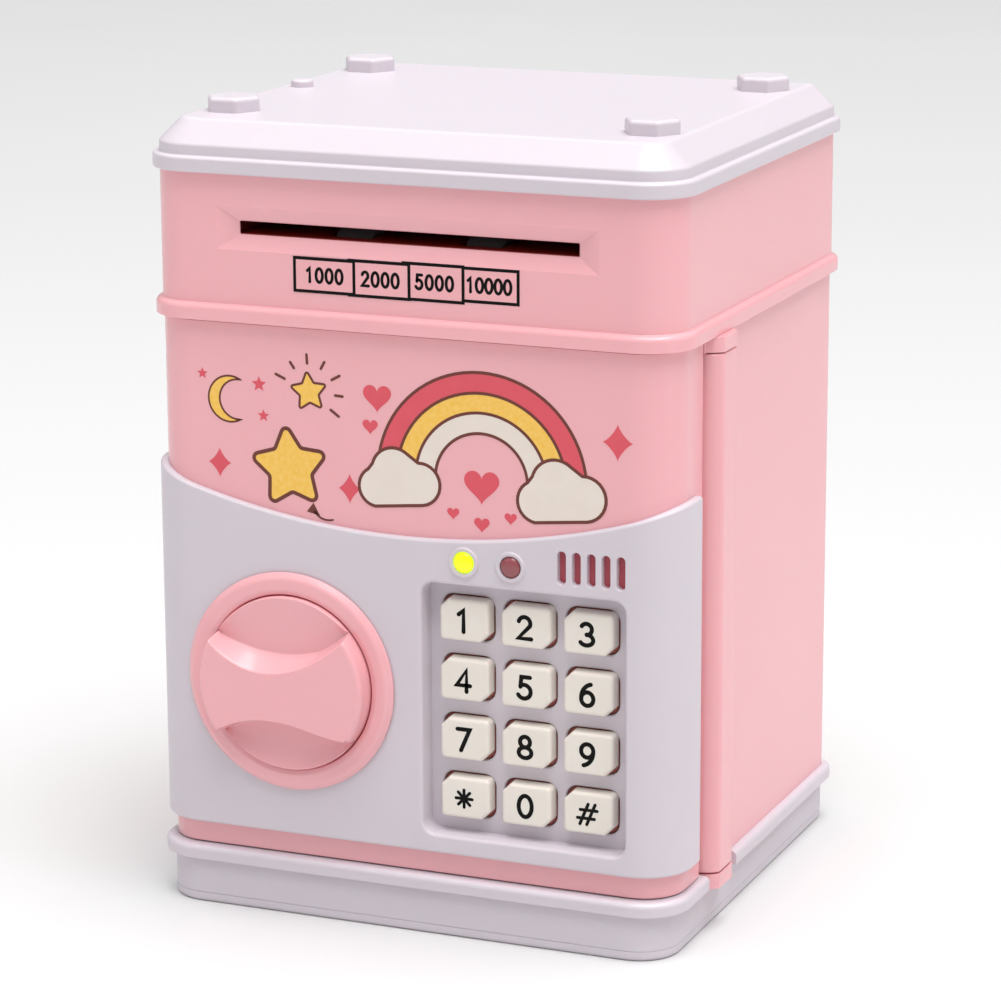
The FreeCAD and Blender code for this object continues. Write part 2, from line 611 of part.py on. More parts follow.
cap_heads = boss_holes("cap_head", cap_boss_spots, f"{ring_z} - 1", cap_head_z, "screw_head + 0.2")
keep("head_shell", cut("head_shell", join("head_solid", mid_ring, head_block), head_hollow, drop,
                       slot_cut, frame_cut, coin_cut, *deck_holes, *cap_holes, *cap_heads))
keep("head_screws", screws("head_screws", body_boss_spots, deck_z, "10.0", "1.6", 1))

# ---------------------------------------------------------------- cap
cap_lip = round_slab("cap_lip", "XY_Plane", cap_z, "cap_lip_tall",
                     f"-{lip_side}", lip_side, f"{front} - lip_proud", lip_rear,
                     grown(shell_radii, "lip_proud"))
soften(cap_lip, "Fillet", UP, "Radius", "cap_lip_tall * 0.4")
cap_block = round_slab("cap_block", "XY_Plane", cap_z,
                       "cap_lip_tall + cap_wall_tall + cap_bevel_tall",
                       f"-{head_side}", head_side, front, rear, shell_radii)
soften(cap_block, "Chamfer", UP, "Size", "min(cap_bevel_tall; rear_round - 0.2)")
cap_hollow = round_slab("cap_hollow", "XY_Plane", f"{cap_z} - 1",
                        "cap_lip_tall + cap_wall_tall + cap_bevel_tall + 1 - wall",
                        f"-{head_side} + wall", f"{head_side} - wall",
                        f"{front} + wall", f"{rear} - wall", inside(shell_radii, "wall"))
soften(cap_hollow, "Chamfer", UP, "Size", "min(cap_bevel_tall; rear_round - wall) - 0.4")
hexes = []
for index, (sign_x, sign_y) in enumerate(((-1, -1), (1, -1), (-1, 1), (1, 1))):
    head = doc.addObject("Part::Prism", f"hex_{index}")
    head.Polygon = 6
    tie(head, "Circumradius", "hex_flats / 2 / cos(30)")
    tie(head, "Height", "hex_tall + sunk")
    place(head, f"{sign_x} * ({half_wide} - hex_in_x)", f"{sign_y} * ({half_deep} - hex_in_y)",
          f"{cap_top_z} - sunk")
    hexes.append(head)
stud = rod("stud", "stud_radius", "z", f"-{half_wide} + stud_in_x", "stud_back", f"{cap_top_z} - sunk",
           "stud_tall + sunk")
cap_outer = cut("cap_outer", join("cap_solid", cap_lip, cap_block), cap_hollow)
cap_boss_pieces = bosses("cap_boss", cap_boss_spots, deck_z, f"{cap_top_z} - wall + 0.2")
keep("top_cap", cut("top_cap", join("cap_frame", cap_outer, stud, *hexes, *cap_boss_pieces),
                    *boss_holes("cap_boss_hole", cap_boss_spots, f"{deck_z} - 1", f"{deck_z} + 10")))
keep("cap_screws", screws("cap_screws", cap_boss_spots, cap_head_z, "8.5", "1.0", -1))

# ---------------------------------------------------------------- banknote feeder
drive_y = f"({front} + roller_back)"
drive_z = f"({slot_z} - roller_radius - run_gap / 2)"
idler_z = f"({slot_z} + idler_radius + run_gap / 2)"
guide_half = "(slot_wide / 2 + 1.6)"
cheek_low = deck_z
cheek_high = f"({idler_z} + idler_radius + 2)"
floor_low = f"({slot_z} - slot_tall / 2 - guide_thick)"
motor_y = f"({drive_y} + feed_module * (feed_teeth + motor_teeth) / 2 * cos(35) + 0.12)"
motor_z = f"({drive_z} - feed_module * (feed_teeth + motor_teeth) / 2 * sin(35) - 0.08)"
cheeks = [block("cheek_left", f"-{guide_half} - cheek_thick", f"-{guide_half}",
                guide_front, guide_rear, cheek_low, cheek_high),
          block("cheek_right", guide_half, f"{guide_half} + cheek_thick",
                guide_front, guide_rear, cheek_low, cheek_high)]
guide_floor = block("guide_floor", f"-{guide_half} - 0.5", f"{guide_half} + 0.5",
                    guide_front, guide_rear, floor_low, f"{floor_low} + guide_thick")
shaft_start = f"(-{guide_half} - cheek_thick - 1)"
shaft_room = "2 * slot_wide"
drive_bore = rod("drive_bore", "axle_radius + shaft_gap", "x", shaft_start, drive_y, drive_z, shaft_room)
idler_bore = rod("idler_bore", "axle_radius + shaft_gap", "x", shaft_start, drive_y, idler_z, shaft_room)
motor_bore = rod("motor_bore", "2.5", "x", "0", motor_y, motor_z, shaft_room)


def roller_windows(label, low, high):
    return [block(f"{label}_{index}", f"{sign} * roller_off - roller_wide / 2 - 1",
                  f"{sign} * roller_off + roller_wide / 2 + 1",
                  f"{drive_y} - roller_radius - 1", f"{drive_y} + roller_radius + 1", low, high)
            for index, sign in enumerate((-1, 1))]


keep("bill_guide", cut("bill_guide", join("guide_solid", guide_floor, *cheeks),
                       drive_bore, idler_bore, motor_bore,
                       *roller_windows("floor_window", f"{floor_low} - 1", slot_z)))
roof_low = f"({slot_z} + slot_tall / 2)"
roof = block("roof", f"-{guide_half}", guide_half, guide_front, guide_rear,
             roof_low, f"{roof_low} + roof_thick")
keep("bill_guide_roof", cut("bill_guide_roof", roof,
                            *roller_windows("roof_window", f"{roof_low} - 1", f"{roof_low} + 9")))


def rollers(label, radius, z):
    pieces = [ring_of(f"{label}_{index}", "x", radius, "axle_radius",
                      f"{sign} * roller_off - roller_wide / 2", drive_y, z, "roller_wide")
              for index, sign in enumerate((-1, 1))]
    return doc_group(label, pieces)


gear_x = f"({guide_half} + cheek_thick + 1)"
keep("drive_shaft", rod("drive_shaft", "axle_radius", "x", f"-{guide_half} - cheek_thick - 0.5",
                        drive_y, drive_z, f"2 * {guide_half} + 2 * cheek_thick + 1.5 + gear_thick + 1"))
keep("drive_rollers", rollers("drive_rollers", "roller_radius", drive_z))
keep("idler_shaft", rod("idler_shaft", "axle_radius", "x", f"-{guide_half} - cheek_thick - 0.5",
                        drive_y, idler_z, f"2 * {guide_half} + 2 * cheek_thick + 1"))
keep("idler_rollers", rollers("idler_rollers", "idler_radius", idler_z))

motor_x = f"({guide_half} - motor_long - 0.2)"
keep("feed_motor", cut("feed_motor",
                       join("motor_body",
                            rod("motor_can", "motor_radius", "x", motor_x, motor_y, motor_z, "motor_long"),
                            rod("motor_nose", "2.3", "x", f"{motor_x} + motor_long - 0.5",
                                motor_y, motor_z, "2.4")),
                       rod("motor_shaft_bore", "1.05", "x", f"{motor_x} + 4", motor_y, motor_z,
                           "motor_long")))

PRESSURE = math.radians(20)


def involute(angle):
    return math.tan(angle) - angle


def gear_shape(module, teeth, thick, bore, backlash, phase):
    """A spur gear about the Z axis with involute flanks and a bore (0 for none).

    A tooth's middle lies at the phase angle, in degrees."""
    pitch = module * teeth / 2
    base = pitch * math.cos(PRESSURE)
    tip = pitch + module
    root = pitch - 1.25 * module
    half_tooth = math.pi / (2 * teeth) - backlash / (2 * pitch) + involute(PRESSURE)
    steps = 5
    start = max(base, root)
    flank = []
    for step in range(steps + 1):
        radius = start + (tip - start) * step / steps
        flank.append((radius, half_tooth - involute(math.acos(min(1.0, base / radius)))))
    edges = []
    last = None

    def spot(radius, angle):
        return Vector(radius * math.cos(angle), radius * math.sin(angle), 0)

    for tooth in range(teeth):
        middle = math.radians(phase) + 2 * math.pi * tooth / teeth
        rise = [spot(radius, middle - angle) for radius, angle in flank]
        fall = [spot(radius, middle + angle) for radius, angle in reversed(flank)]
        foot_in = spot(root, middle - flank[0][1])
        foot_out = spot(root, middle + flank[0][1])
        if last is not None:
            edges.append(Part.LineSegment(last, foot_in).toShape())
        else:
            first = foot_in
        path = ([foot_in] if start > root else []) + rise + [spot(tip, middle)] + fall
        path += [foot_out] if start > root else []
        for begin, end in zip(path, path[1:]):
            edges.append(Part.LineSegment(begin, end).toShape())
        last = foot_out
    edges.append(Part.LineSegment(last, first).toShape())
    solid = Part.Face(Part.Wire(edges)).extrude(Vector(0, 0, thick))
    if bore:
        solid = solid.cut(Part.makeCylinder(bore, thick))
    return solid


def free_shape(label, shape, x, y, z, turn=None):
    thing = doc.addObject("Part::Feature", label)
    thing.Shape = shape
    place(thing, x, y, z, turn)
    return thing


# The gears are drawn about Z and laid over so that their own Z is the model's X; a tooth angle
# of 0 then points down, and 90 points to the rear.
mesh_angle = 35.0
toward_motor = 90.0 - mesh_angle
feed_module = number("feed_module")
drive_gear = gear_shape(feed_module, int(number("feed_teeth")), number("gear_thick"),
                        number("axle_radius"), 0.16, toward_motor)
keep("drive_gear", free_shape("drive_gear", drive_gear, gear_x, drive_y, drive_z, TURNS["x"]))
motor_teeth = int(number("motor_teeth"))
facing = toward_motor + 180.0 + 180.0 / motor_teeth
pinion = gear_shape(feed_module, motor_teeth, number("gear_thick"), 0, 0.16, facing)
spindle = Part.makeCylinder(1.0, number(f"{gear_x} - {motor_x} - 5"), Vector(0, 0, 0), Vector(0, 0, -1))
keep("motor_pinion", free_shape("motor_pinion", pinion.fuse(spindle), gear_x, motor_y, motor_z,
                                TURNS["x"]))
board_x = f"(-{head_side} + wall + 3)"
board_y = f"({front} + boss_in + boss_radius + 4)"
sensor = block("sensor_plate", board_x, f"{board_x} + 1.6", board_y, f"{board_y} + 24",
               deck_z, f"{deck_z} + 24")
sensor_chip = block("sensor_chip", f"{board_x} + 1.5", f"{board_x} + 3.1", f"{board_y} + 8",
                    f"{board_y} + 16", f"{deck_z} + 8", f"{deck_z} + 16")
keep("sensor_board", join("sensor_board", sensor, sensor_chip))

# ---------------------------------------------------------------- door panel
pan_outer = round_slab("pan_outer", "XY_Plane", door_z, f"{door_top_z} - {door_z}",
                       f"-{side}", side, front, "0", shell_radii)
pan_room = round_slab("pan_room", "XY_Plane", f"{door_z} + door_wall",
                      f"{door_top_z} - {door_z} - 2 * door_wall",
                      f"-{side} + door_wall", f"{side} - door_wall", f"{front} + door_wall", "1",
                      inside(shell_radii, "door_wall"))
pan_rear = block("pan_rear", "-shell_wide", "shell_wide", door_rear, "5", "0", "2 * body_tall")
pad_x0 = "(pad_left)"
pad_x1 = "(pad_left + pad_wide)"
pad_z0 = f"({body_z} + pad_low)"
pad_z1 = f"({pad_z0} + pad_tall)"
knob_x = "(-knob_off)"
knob_z = f"({body_z} + knob_up)"
slit_z = f"({body_z} + slit_up)"
light_z = f"({body_z} + light_up)"
speaker_x = "(slit_left + 2 * slit_pitch)"
speaker_z = f"({pad_z1} + pad_wall + speaker_radius + 1.2)"
panel_pad = block("panel_pad", f"{pad_x0} - pad_wall - 0.1", f"{pad_x1} + pad_wall + 0.1",
                  f"{front} - 1", f"{front} + door_wall + 1",
                  f"{pad_z0} - pad_wall - 0.1", f"{pad_z1} + pad_wall + 0.1")
panel_voices = [block(f"panel_voice_{index}", f"slit_left + {index} * slit_pitch + slit_wide / 2 - voice_wide",
                      f"slit_left + {index} * slit_pitch + slit_wide / 2", f"{front} - 1",
                      f"{front} + door_wall + 1", f"{slit_z} - slit_tall / 2 + slit_wide / 2",
                      f"{slit_z} + slit_tall / 2 - slit_wide / 2") for index in range(5)]
panel_lights = [rod(f"panel_light_{index}", "lens_radius", "y", f"light_left + {index} * light_pitch",
                    f"{front} - 1", light_z, "door_wall + 2") for index in (0, 1)]
panel_shaft = rod("panel_shaft", "shaft_radius + shaft_gap", "y", knob_x, f"{front} - 1", knob_z,
                  "door_wall + 2")
door_boss_spots = [(f"-{side} + 8", f"{door_z} + 9"), ("pad_left - pad_wall - boss_radius - 1", f"{door_z} + 9"),
                   (f"-{side} + 8", f"{door_top_z} - 9"), (f"{side} - 12", f"{door_top_z} - 9")]
cover_y = f"({door_rear} - back_cover_thick - 0.2)"
panel_bosses = [rod(f"panel_boss_{index}", "boss_radius", "y", x, f"{front} + door_wall - 0.5", z,
                    f"{cover_y} - {front} - door_wall + 0.5")
                for index, (x, z) in enumerate(door_boss_spots)]
panel_boss_holes = [rod(f"panel_boss_hole_{index}", "screw_radius", "y", x, f"{cover_y} - 9", z, "12")
                    for index, (x, z) in enumerate(door_boss_spots)]
panel_walls = cut("panel_walls", pan_outer, pan_room, pan_rear)
keep("door_panel", cut("door_panel", join("panel_solid", panel_walls, *panel_bosses),
                       panel_pad, panel_shaft, *panel_voices, *panel_lights, *panel_boss_holes))

# back cover, with the hinge barrel moulded on its edge
cover_plate = block("cover_plate", f"-{side} + door_wall + 0.2", f"{side} - door_wall - 0.2",
                    cover_y, f"{cover_y} + back_cover_thick",
                    f"{door_z} + door_wall + 0.2", f"{door_top_z} - door_wall - 0.2")
barrel = hinge_disc("barrel", barrel_z, barrel_top_z)
web_x = f"({side} - door_wall - 0.2)"
barrel_web = block("barrel_web", f"{web_x} - 3", web_x, f"{cover_y} + 0.5", f"{hinge_y}",
                   f"{barrel_z} + 4", f"{barrel_top_z} - 4")
barrel_bore = rod("barrel_bore", "pin_radius + shaft_gap", "z", hinge_x, hinge_y, "0", "2 * body_tall")
cover_shaft = rod("cover_shaft", "shaft_radius + shaft_gap", "y", knob_x, f"{cover_y} - 1", knob_z, "5")
cover_screw_holes = [rod(f"cover_screw_hole_{index}", "screw_radius + 0.2", "y", x,
                         f"{cover_y} - 1", z, "5") for index, (x, z) in enumerate(door_boss_spots)]
keep("door_back_cover", cut("door_back_cover", join("cover_frame", cover_plate, barrel, barrel_web),
                            barrel_bore, cover_shaft, *cover_screw_holes))
door_screw_set = []
for index, (x, z) in enumerate(door_boss_spots):
    head_y = f"{cover_y} + back_cover_thick"
    head = rod(f"door_screw_head_{index}", "screw_head", "y", x, head_y, z, "0.6")
    shank = rod(f"door_screw_shank_{index}", "screw_radius - 0.05", "y", x, f"{head_y} - 8", z, "8")
    door_screw_set.append(join(f"door_screw_{index}", head, shank))
keep("door_screws", doc_group("door_screws", door_screw_set))

# ---------------------------------------------------------------- fascia
fascia_z = f"({body_z} + fascia_low)"
fascia_mid_z = f"({fascia_z} + fascia_high)"
fascia_side = f"({side} + fascia_proud)"
fascia_top = f"({fascia_mid_z} + 30)"
fascia_block = round_slab("fascia_block", "XY_Plane", fascia_z, f"{fascia_top} - {fascia_z}",
                          f"-{fascia_side}", fascia_side, fascia_y, "0",
                          grown(shell_radii, "fascia_proud"))
fascia_inner = round_slab("fascia_inner", "XY_Plane", f"{fascia_z} - 1", f"{fascia_top} - {fascia_z} + 2",
                          f"-{side}", side, front, "1", shell_radii)
fascia_back = block("fascia_back", "-shell_wide", "shell_wide", f"{fascia_y} + fascia_wrap", "5",
                    "0", "2 * body_tall")
fascia_bowl = rod("fascia_bowl", "fascia_arc", "y", "0", f"{fascia_y} - 1",
                  f"{fascia_mid_z} + fascia_arc", "shell_deep")
pad_front = f"({fascia_y} + pad_deep)"
pad_pan = block("pad_pan", f"{pad_x0} - pad_wall", f"{pad_x1} + pad_wall", f"{front} - 0.1",
                f"{pad_front} + pad_wall", f"{pad_z0} - pad_wall", f"{pad_z1} + pad_wall")
pad_room = round_slab("pad_room", "XZ_Plane", f"-{pad_front}", "pad_deep + 2",
                      pad_x0, pad_x1, pad_z0, pad_z1, ["3", "3", "3", "3"])
key_wide = "((pad_wide - 2 * key_margin_x - 2 * key_space_x) / 3)"
key_tall = "((pad_tall - 2 * key_margin_z - 3 * key_space_z) / 4)"
key_spots = [(f"(pad_left + pad_wide / 2 + {column} * ({key_wide} + key_space_x))",
              f"({pad_z0} + pad_tall / 2 + {line} * ({key_tall} + key_space_z))")
             for line in (1.5, 0.5, -0.5, -1.5) for column in (-1, 0, 1)]
key_holes = [block(f"key_hole_{index}", f"{x} - {key_wide} / 2 - key_gap", f"{x} + {key_wide} / 2 + key_gap",
                   f"{pad_front} - 1", f"{pad_front} + pad_wall + 1",
                   f"{z} - {key_tall} / 2 - key_gap", f"{z} + {key_tall} / 2 + key_gap")
             for index, (x, z) in enumerate(key_spots)]
slits = []
for index in range(5):
    x = f"slit_left + {index} * slit_pitch"
    slits.append(block(f"slit_{index}", f"{x} - slit_wide / 2", f"{x} + slit_wide / 2",
                       f"{fascia_y} - 1", f"{front} + 1", f"{slit_z} - slit_tall / 2 + slit_wide / 2",
                       f"{slit_z} + slit_tall / 2 - slit_wide / 2"))
    for end, sign in (("low", -1), ("high", 1)):
        slits.append(rod(f"slit_{end}_{index}", "slit_wide / 2", "y", x, f"{fascia_y} - 1",
                         f"{slit_z} + {sign} * (slit_tall / 2 - slit_wide / 2)", "fascia_proud + 2"))
light_rings = [rod(f"light_ring_{index}", "lens_radius + light_rim", "y", f"light_left + {index} * light_pitch",
                   f"{fascia_y} - light_rim_tall", light_z, "light_rim_tall + fascia_proud") for index in (0, 1)]
light_holes = [rod(f"light_hole_{index}", "lens_radius", "y", f"light_left + {index} * light_pitch",
                   f"{fascia_y} - 1", light_z, "fascia_proud + 2") for index in (0, 1)]
fascia_shaft = rod("fascia_shaft", "shaft_radius + 1", "y", knob_x, f"{fascia_y} - 1", knob_z,
                   "fascia_proud + 2")
fascia_skin = cut("fascia_skin", fascia_block, fascia_inner, fascia_back, fascia_bowl)
keep("door_fascia", cut("door_fascia", join("fascia_solid", fascia_skin, pad_pan, *light_rings),
                        pad_room, fascia_shaft, *slits, *light_holes, *key_holes))

for index, name in enumerate(("led_green", "led_red")):
    lens = rod(f"{name}_lens", "lens_radius", "y", f"light_left + {index} * light_pitch",
               f"{fascia_y} - 0.5", light_z, "7")
    keep(name, lens)
keep("speaker", rod("speaker", "speaker_radius", "y", speaker_x, f"{front} + door_wall + 0.2",
                    speaker_z, "5.5"))

# ---------------------------------------------------------------- keys
flange_front = f"({pad_front} + pad_wall + 0.35)"
KEYS = ["1", "2", "3", "4", "5", "6", "7", "8", "9", "star", "0", "hash"]
for index, (name, (x, z)) in enumerate(zip(KEYS, key_spots)):
    left, right = f"{x} - {key_wide} / 2", f"{x} + {key_wide} / 2"
    low, high = f"{z} - {key_tall} / 2", f"{z} + {key_tall} / 2"
    cap = outline_slab(f"key_cap_{name}", "XZ_Plane", f"-{flange_front}",
                       f"{flange_front} - {fascia_y} - key_sunk",
                       [(left, low), (f"{right} - key_cut", low), (right, f"{low} + key_cut"),
                        (right, high), (f"{left} + key_cut", high), (left, f"{high} - key_cut")])
    soften(cap, "Fillet", FRONT, "Radius", "0.7")
    flange = block(f"key_flange_{name}", f"{left} - 0.7", f"{right} + 0.7", flange_front,
                   f"{flange_front} + 0.8", f"{low} - 0.7", f"{high} + 0.7")
    keep(f"key_{name}", join(f"key_{name}", cap, flange))
membrane_front = f"({flange_front} + 0.8 + key_travel + 0.4)"
keep("keypad_membrane", block("keypad_membrane", f"{pad_x0} - 1", f"{pad_x1} + 1", membrane_front,
                              f"{membrane_front} + 1.2", f"{pad_z0} - 1", f"{pad_z1} + 1"))
keep("keypad_board", block("keypad_board", f"{pad_x0} - 1.5", f"{pad_x1} + 1.5",
                           f"{membrane_front} + 1.2", f"{membrane_front} + 2.8",
                           f"{pad_z0} - 1.5", f"{pad_z1} + 1.5"))
main_board = block("main_board", f"-{side} + 20", "slit_left - 8", f"{cover_y} - 6", f"{cover_y} - 4.4",
                   f"{pad_z1} + 8", f"{door_top_z} - 6")
main_chip = block("main_chip", "-12", "4", f"{cover_y} - 8", f"{cover_y} - 5.9",
                  f"{pad_z1} + 20", f"{pad_z1} + 31")
standoff_spots = [(x, z) for x in (f"-{side} + 23", "slit_left - 11")
                  for z in (f"{pad_z1} + 11", f"{door_top_z} - 9")]
standoffs = [rod(f"standoff_{index}", "2", "y", x, f"{cover_y} - 4.5", z, "4.5")
             for index, (x, z) in enumerate(standoff_spots)]
keep("control_board", join("control_board", main_board, main_chip, *standoffs))

# ---------------------------------------------------------------- knob and lock
ring_disc = rod("ring_disc", "ring_radius", "y", knob_x, f"{fascia_y} - ring_proud", knob_z,
                             "ring_proud")
ring_hole = rod("ring_hole", "ring_bore", "y", knob_x, f"{fascia_y} - ring_proud - 1", knob_z,
                "ring_proud + 2")
keep("knob_ring", cut("knob_ring", ring_disc, ring_hole))

knob_radius = "(ring_bore - run_gap)"
knob_rear = f"({fascia_y} - run_gap)"
knob_rim_y = f"({fascia_y} - ring_proud - knob_rim)"
knob_front = f"({knob_rim_y} - knob_crown)"
lock_y = f"({body_front} + stop_thick + run_gap)"
knob_disc = rod("knob_disc", knob_radius, "y", knob_x, knob_front, knob_z, f"{knob_rear} - {knob_front}")
dome_radius = f"(({knob_radius} ^ 2 + knob_crown ^ 2) / (2 * knob_crown))"
dome = doc.addObject("Part::Sphere", "knob_dome")
tie(dome, "Radius", dome_radius)
place(dome, knob_x, f"{knob_front} + {dome_radius}", knob_z, TURNS["y"])
hollow_z = "(grip_waist / 2 + grip_hollow)"
hollows = []
for index, sign in enumerate((-1, 1)):
    hollow = common(f"hollow_{index}",
                    rod(f"hollow_cut_{index}", "grip_hollow", "y",
                        f"{knob_x} + {sign} * {hollow_z} * sin(grip_tilt)", f"{knob_front} - 1",
                        f"{knob_z} + {sign} * {hollow_z} * cos(grip_tilt)", "hollow_deep + 1"),
                    rod(f"hollow_limit_{index}", f"{knob_radius} - 1.3", "y", knob_x,
                        f"{knob_front} - 2", knob_z, "hollow_deep + 4"))
    hollows.append(hollow)
knob_cap = cut("knob_cap", common("knob_round", knob_disc, dome), *hollows)
knob_shaft = rod("knob_shaft", "shaft_radius", "y", knob_x, f"{knob_rear} - 1.5", knob_z,
                 f"{lock_y} + lock_thick + 1.5 - {knob_rear}")
keep("knob", join("knob", knob_cap, knob_shaft))

# The lock's pinion and rack are drawn in the model's X and Z, front to back along Y. A tooth
# of the pinion points straight up at rest, into a space of the rack.
module = number("pinion_module")
teeth = int(number("pinion_teeth"))
lock_turn = FreeCAD.Rotation(Vector(1, 0, 0), -90)
lock_pinion = gear_shape(module, teeth, number("lock_thick"), number("shaft_radius"), 0.2, -90.0)
keep("knob_pinion", free_shape("knob_pinion", lock_pinion, knob_x, lock_y, knob_z, lock_turn))
pitch_z = f"({knob_z} + pinion_module * pinion_teeth / 2 + 0.08)"
travel = math.pi / 2 * module * teeth / 2


def rack_outline(length, tall, first_tooth, tooth_count):
    """The bolt's side view about its tip and pitch line, with teeth hanging below."""
    step = math.pi * module
    slope = math.tan(PRESSURE)
    half = step / 4 - 0.1
    root = 1.25 * module
    spots = [(0, tall + root), (0, root)]
    for tooth in range(tooth_count):
        middle = first_tooth + tooth * step
        spots += [(middle - half - root * slope, root), (middle - half + module * slope, -module),
                  (middle + half - module * slope, -module), (middle + half + root * slope, root)]
    spots += [(length, root), (length, tall + root)]
    return [Vector(x, 0, z) for x, z in spots]


bolt_x = f"({knob_x} - bolt_reach)"
bolt_tall = number("bolt_tall")
half_step = math.pi * module / 2
first_tooth = number("bolt_reach") - half_step
rack = Part.makePolygon(rack_outline(number("bolt_long"), bolt_tall, first_tooth, 7)
                        + rack_outline(number("bolt_long"), bolt_tall, first_tooth, 7)[:1])
bolt_bar = Part.Face(Part.Wire(rack.Edges)).extrude(Vector(0, number("lock_thick"), 0))
bolt_body = free_shape("bolt_body", bolt_bar, bolt_x, lock_y, pitch_z)
bolt_top = f"({pitch_z} + 1.25 * pinion_module + bolt_tall)"
plunger_x = f"({bolt_x} + 16)"
notches = [rod(f"notch_{index}", "plunger_radius + run_gap", "z",
               f"{plunger_x} + {index} * {travel}", f"{lock_y} + lock_thick / 2",
               f"{bolt_top} - plunger_travel", "10") for index in (0, 1)]
keep("lock_bolt", cut("lock_bolt", bolt_body, *notches))

guides = []
guide_spots = (f"{bolt_x} + 2.5", f"{bolt_x} + bolt_long - 5")
for index, x in enumerate(guide_spots):
    outer = block(f"guide_outer_{index}", x, f"({x}) + 5", f"{door_rear} - 0.2",
                  f"{lock_y} + lock_thick + run_gap + 1.4", f"{pitch_z} - 0.4", f"{bolt_top} + run_gap + 1.4")
    room = block(f"guide_room_{index}", f"({x}) - 1", f"({x}) + 6", f"{lock_y} - run_gap",
                 f"{lock_y} + lock_thick + run_gap",
                 f"{pitch_z} + 1.25 * pinion_module - run_gap", f"{bolt_top} + run_gap")
    teeth_room = block(f"guide_teeth_{index}", f"({x}) - 1", f"({x}) + 6", f"{lock_y} - run_gap",
                       f"{lock_y} + lock_thick + run_gap", f"{pitch_z} - 2", bolt_top)
    guides.append(cut(f"guide_loop_{index}", outer, join(f"guide_space_{index}", room, teeth_room)))
keep("bolt_guides", doc_group("bolt_guides", guides))

coil_z = f"({bolt_top} + run_gap + plunger_travel + 1)"
coil_box = block("coil_box", f"{plunger_x} - 7", f"{plunger_x} + 7", f"{door_rear} - 0.2",
                 f"{lock_y} + lock_thick + 2.5", coil_z, f"{coil_z} + 17")
coil_bore = rod("coil_bore", "plunger_radius + shaft_gap", "z", plunger_x,
                f"{lock_y} + lock_thick / 2", f"{coil_z} - 1", "20")
keep("lock_solenoid", cut("lock_solenoid", coil_box, coil_bore))
keep("lock_plunger", rod("lock_plunger", "plunger_radius", "z", plunger_x, f"{lock_y} + lock_thick / 2",
                         f"{bolt_top} + run_gap", "20"))

# ---------------------------------------------------------------- check and write
doc.recompute()
faults = [f"{thing.Label}: {thing.State}" for thing in doc.Objects
          if "Invalid" in thing.State or "Error" in thing.State]
for piece in NODES:
    if piece.Shape.isNull() or not piece.Shape.isValid():
        faults.append(f"{piece.Label}: bad shape")
if faults:
    raise RuntimeError("; ".join(faults))
os.makedirs("parts", exist_ok=True)
for piece in NODES:
    piece.Shape.exportStep(f"parts/{piece.Label}.step")
print(len(NODES), "pieces written")
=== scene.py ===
import math

import bmesh
import bpy
from mathutils import Matrix, Vector


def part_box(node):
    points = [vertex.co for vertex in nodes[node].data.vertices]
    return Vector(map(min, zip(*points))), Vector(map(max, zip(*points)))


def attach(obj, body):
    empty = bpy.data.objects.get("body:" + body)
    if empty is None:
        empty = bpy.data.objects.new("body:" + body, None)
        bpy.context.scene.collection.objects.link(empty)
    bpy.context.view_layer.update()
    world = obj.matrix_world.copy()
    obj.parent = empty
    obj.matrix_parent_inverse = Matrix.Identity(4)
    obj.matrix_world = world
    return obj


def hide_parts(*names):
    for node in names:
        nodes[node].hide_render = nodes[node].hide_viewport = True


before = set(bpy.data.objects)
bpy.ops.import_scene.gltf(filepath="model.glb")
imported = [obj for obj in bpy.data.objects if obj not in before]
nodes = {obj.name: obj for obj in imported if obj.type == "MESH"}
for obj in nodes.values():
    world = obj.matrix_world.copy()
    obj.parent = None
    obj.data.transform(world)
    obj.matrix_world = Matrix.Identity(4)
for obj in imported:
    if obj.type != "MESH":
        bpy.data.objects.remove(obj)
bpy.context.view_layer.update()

MM = 0.001


# ---------------------------------------------------------------- bottom plate, base and battery door
# The foot of the safe is two mouldings in white ABS: a hollow tray with a rounded lip round its
# top, and a bottom plate screwed up into its corner posts. The battery door lies flush in it.

def linear(colour):
    """An sRGB hex colour as the linear values that a shader takes."""
    channels = [int(colour[place:place + 2], 16) / 255 for place in (0, 2, 4)]
    return [c / 12.92 if c <= 0.04045 else ((c + 0.055) / 1.055) ** 2.4 for c in channels] + [1.0]


def add_node(tree, kind, settings=None, links=None, **properties):
    """Add one node with its properties, its socket values and its links to earlier nodes."""
    made = tree.nodes.new(kind)
    for name, value in properties.items():
        setattr(made, name, value)
    for name, value in (settings or {}).items():
        made.inputs[name].default_value = value
    for name, (source, output) in (links or {}).items():
        tree.links.new(source.outputs[output], made.inputs[name])
    return made


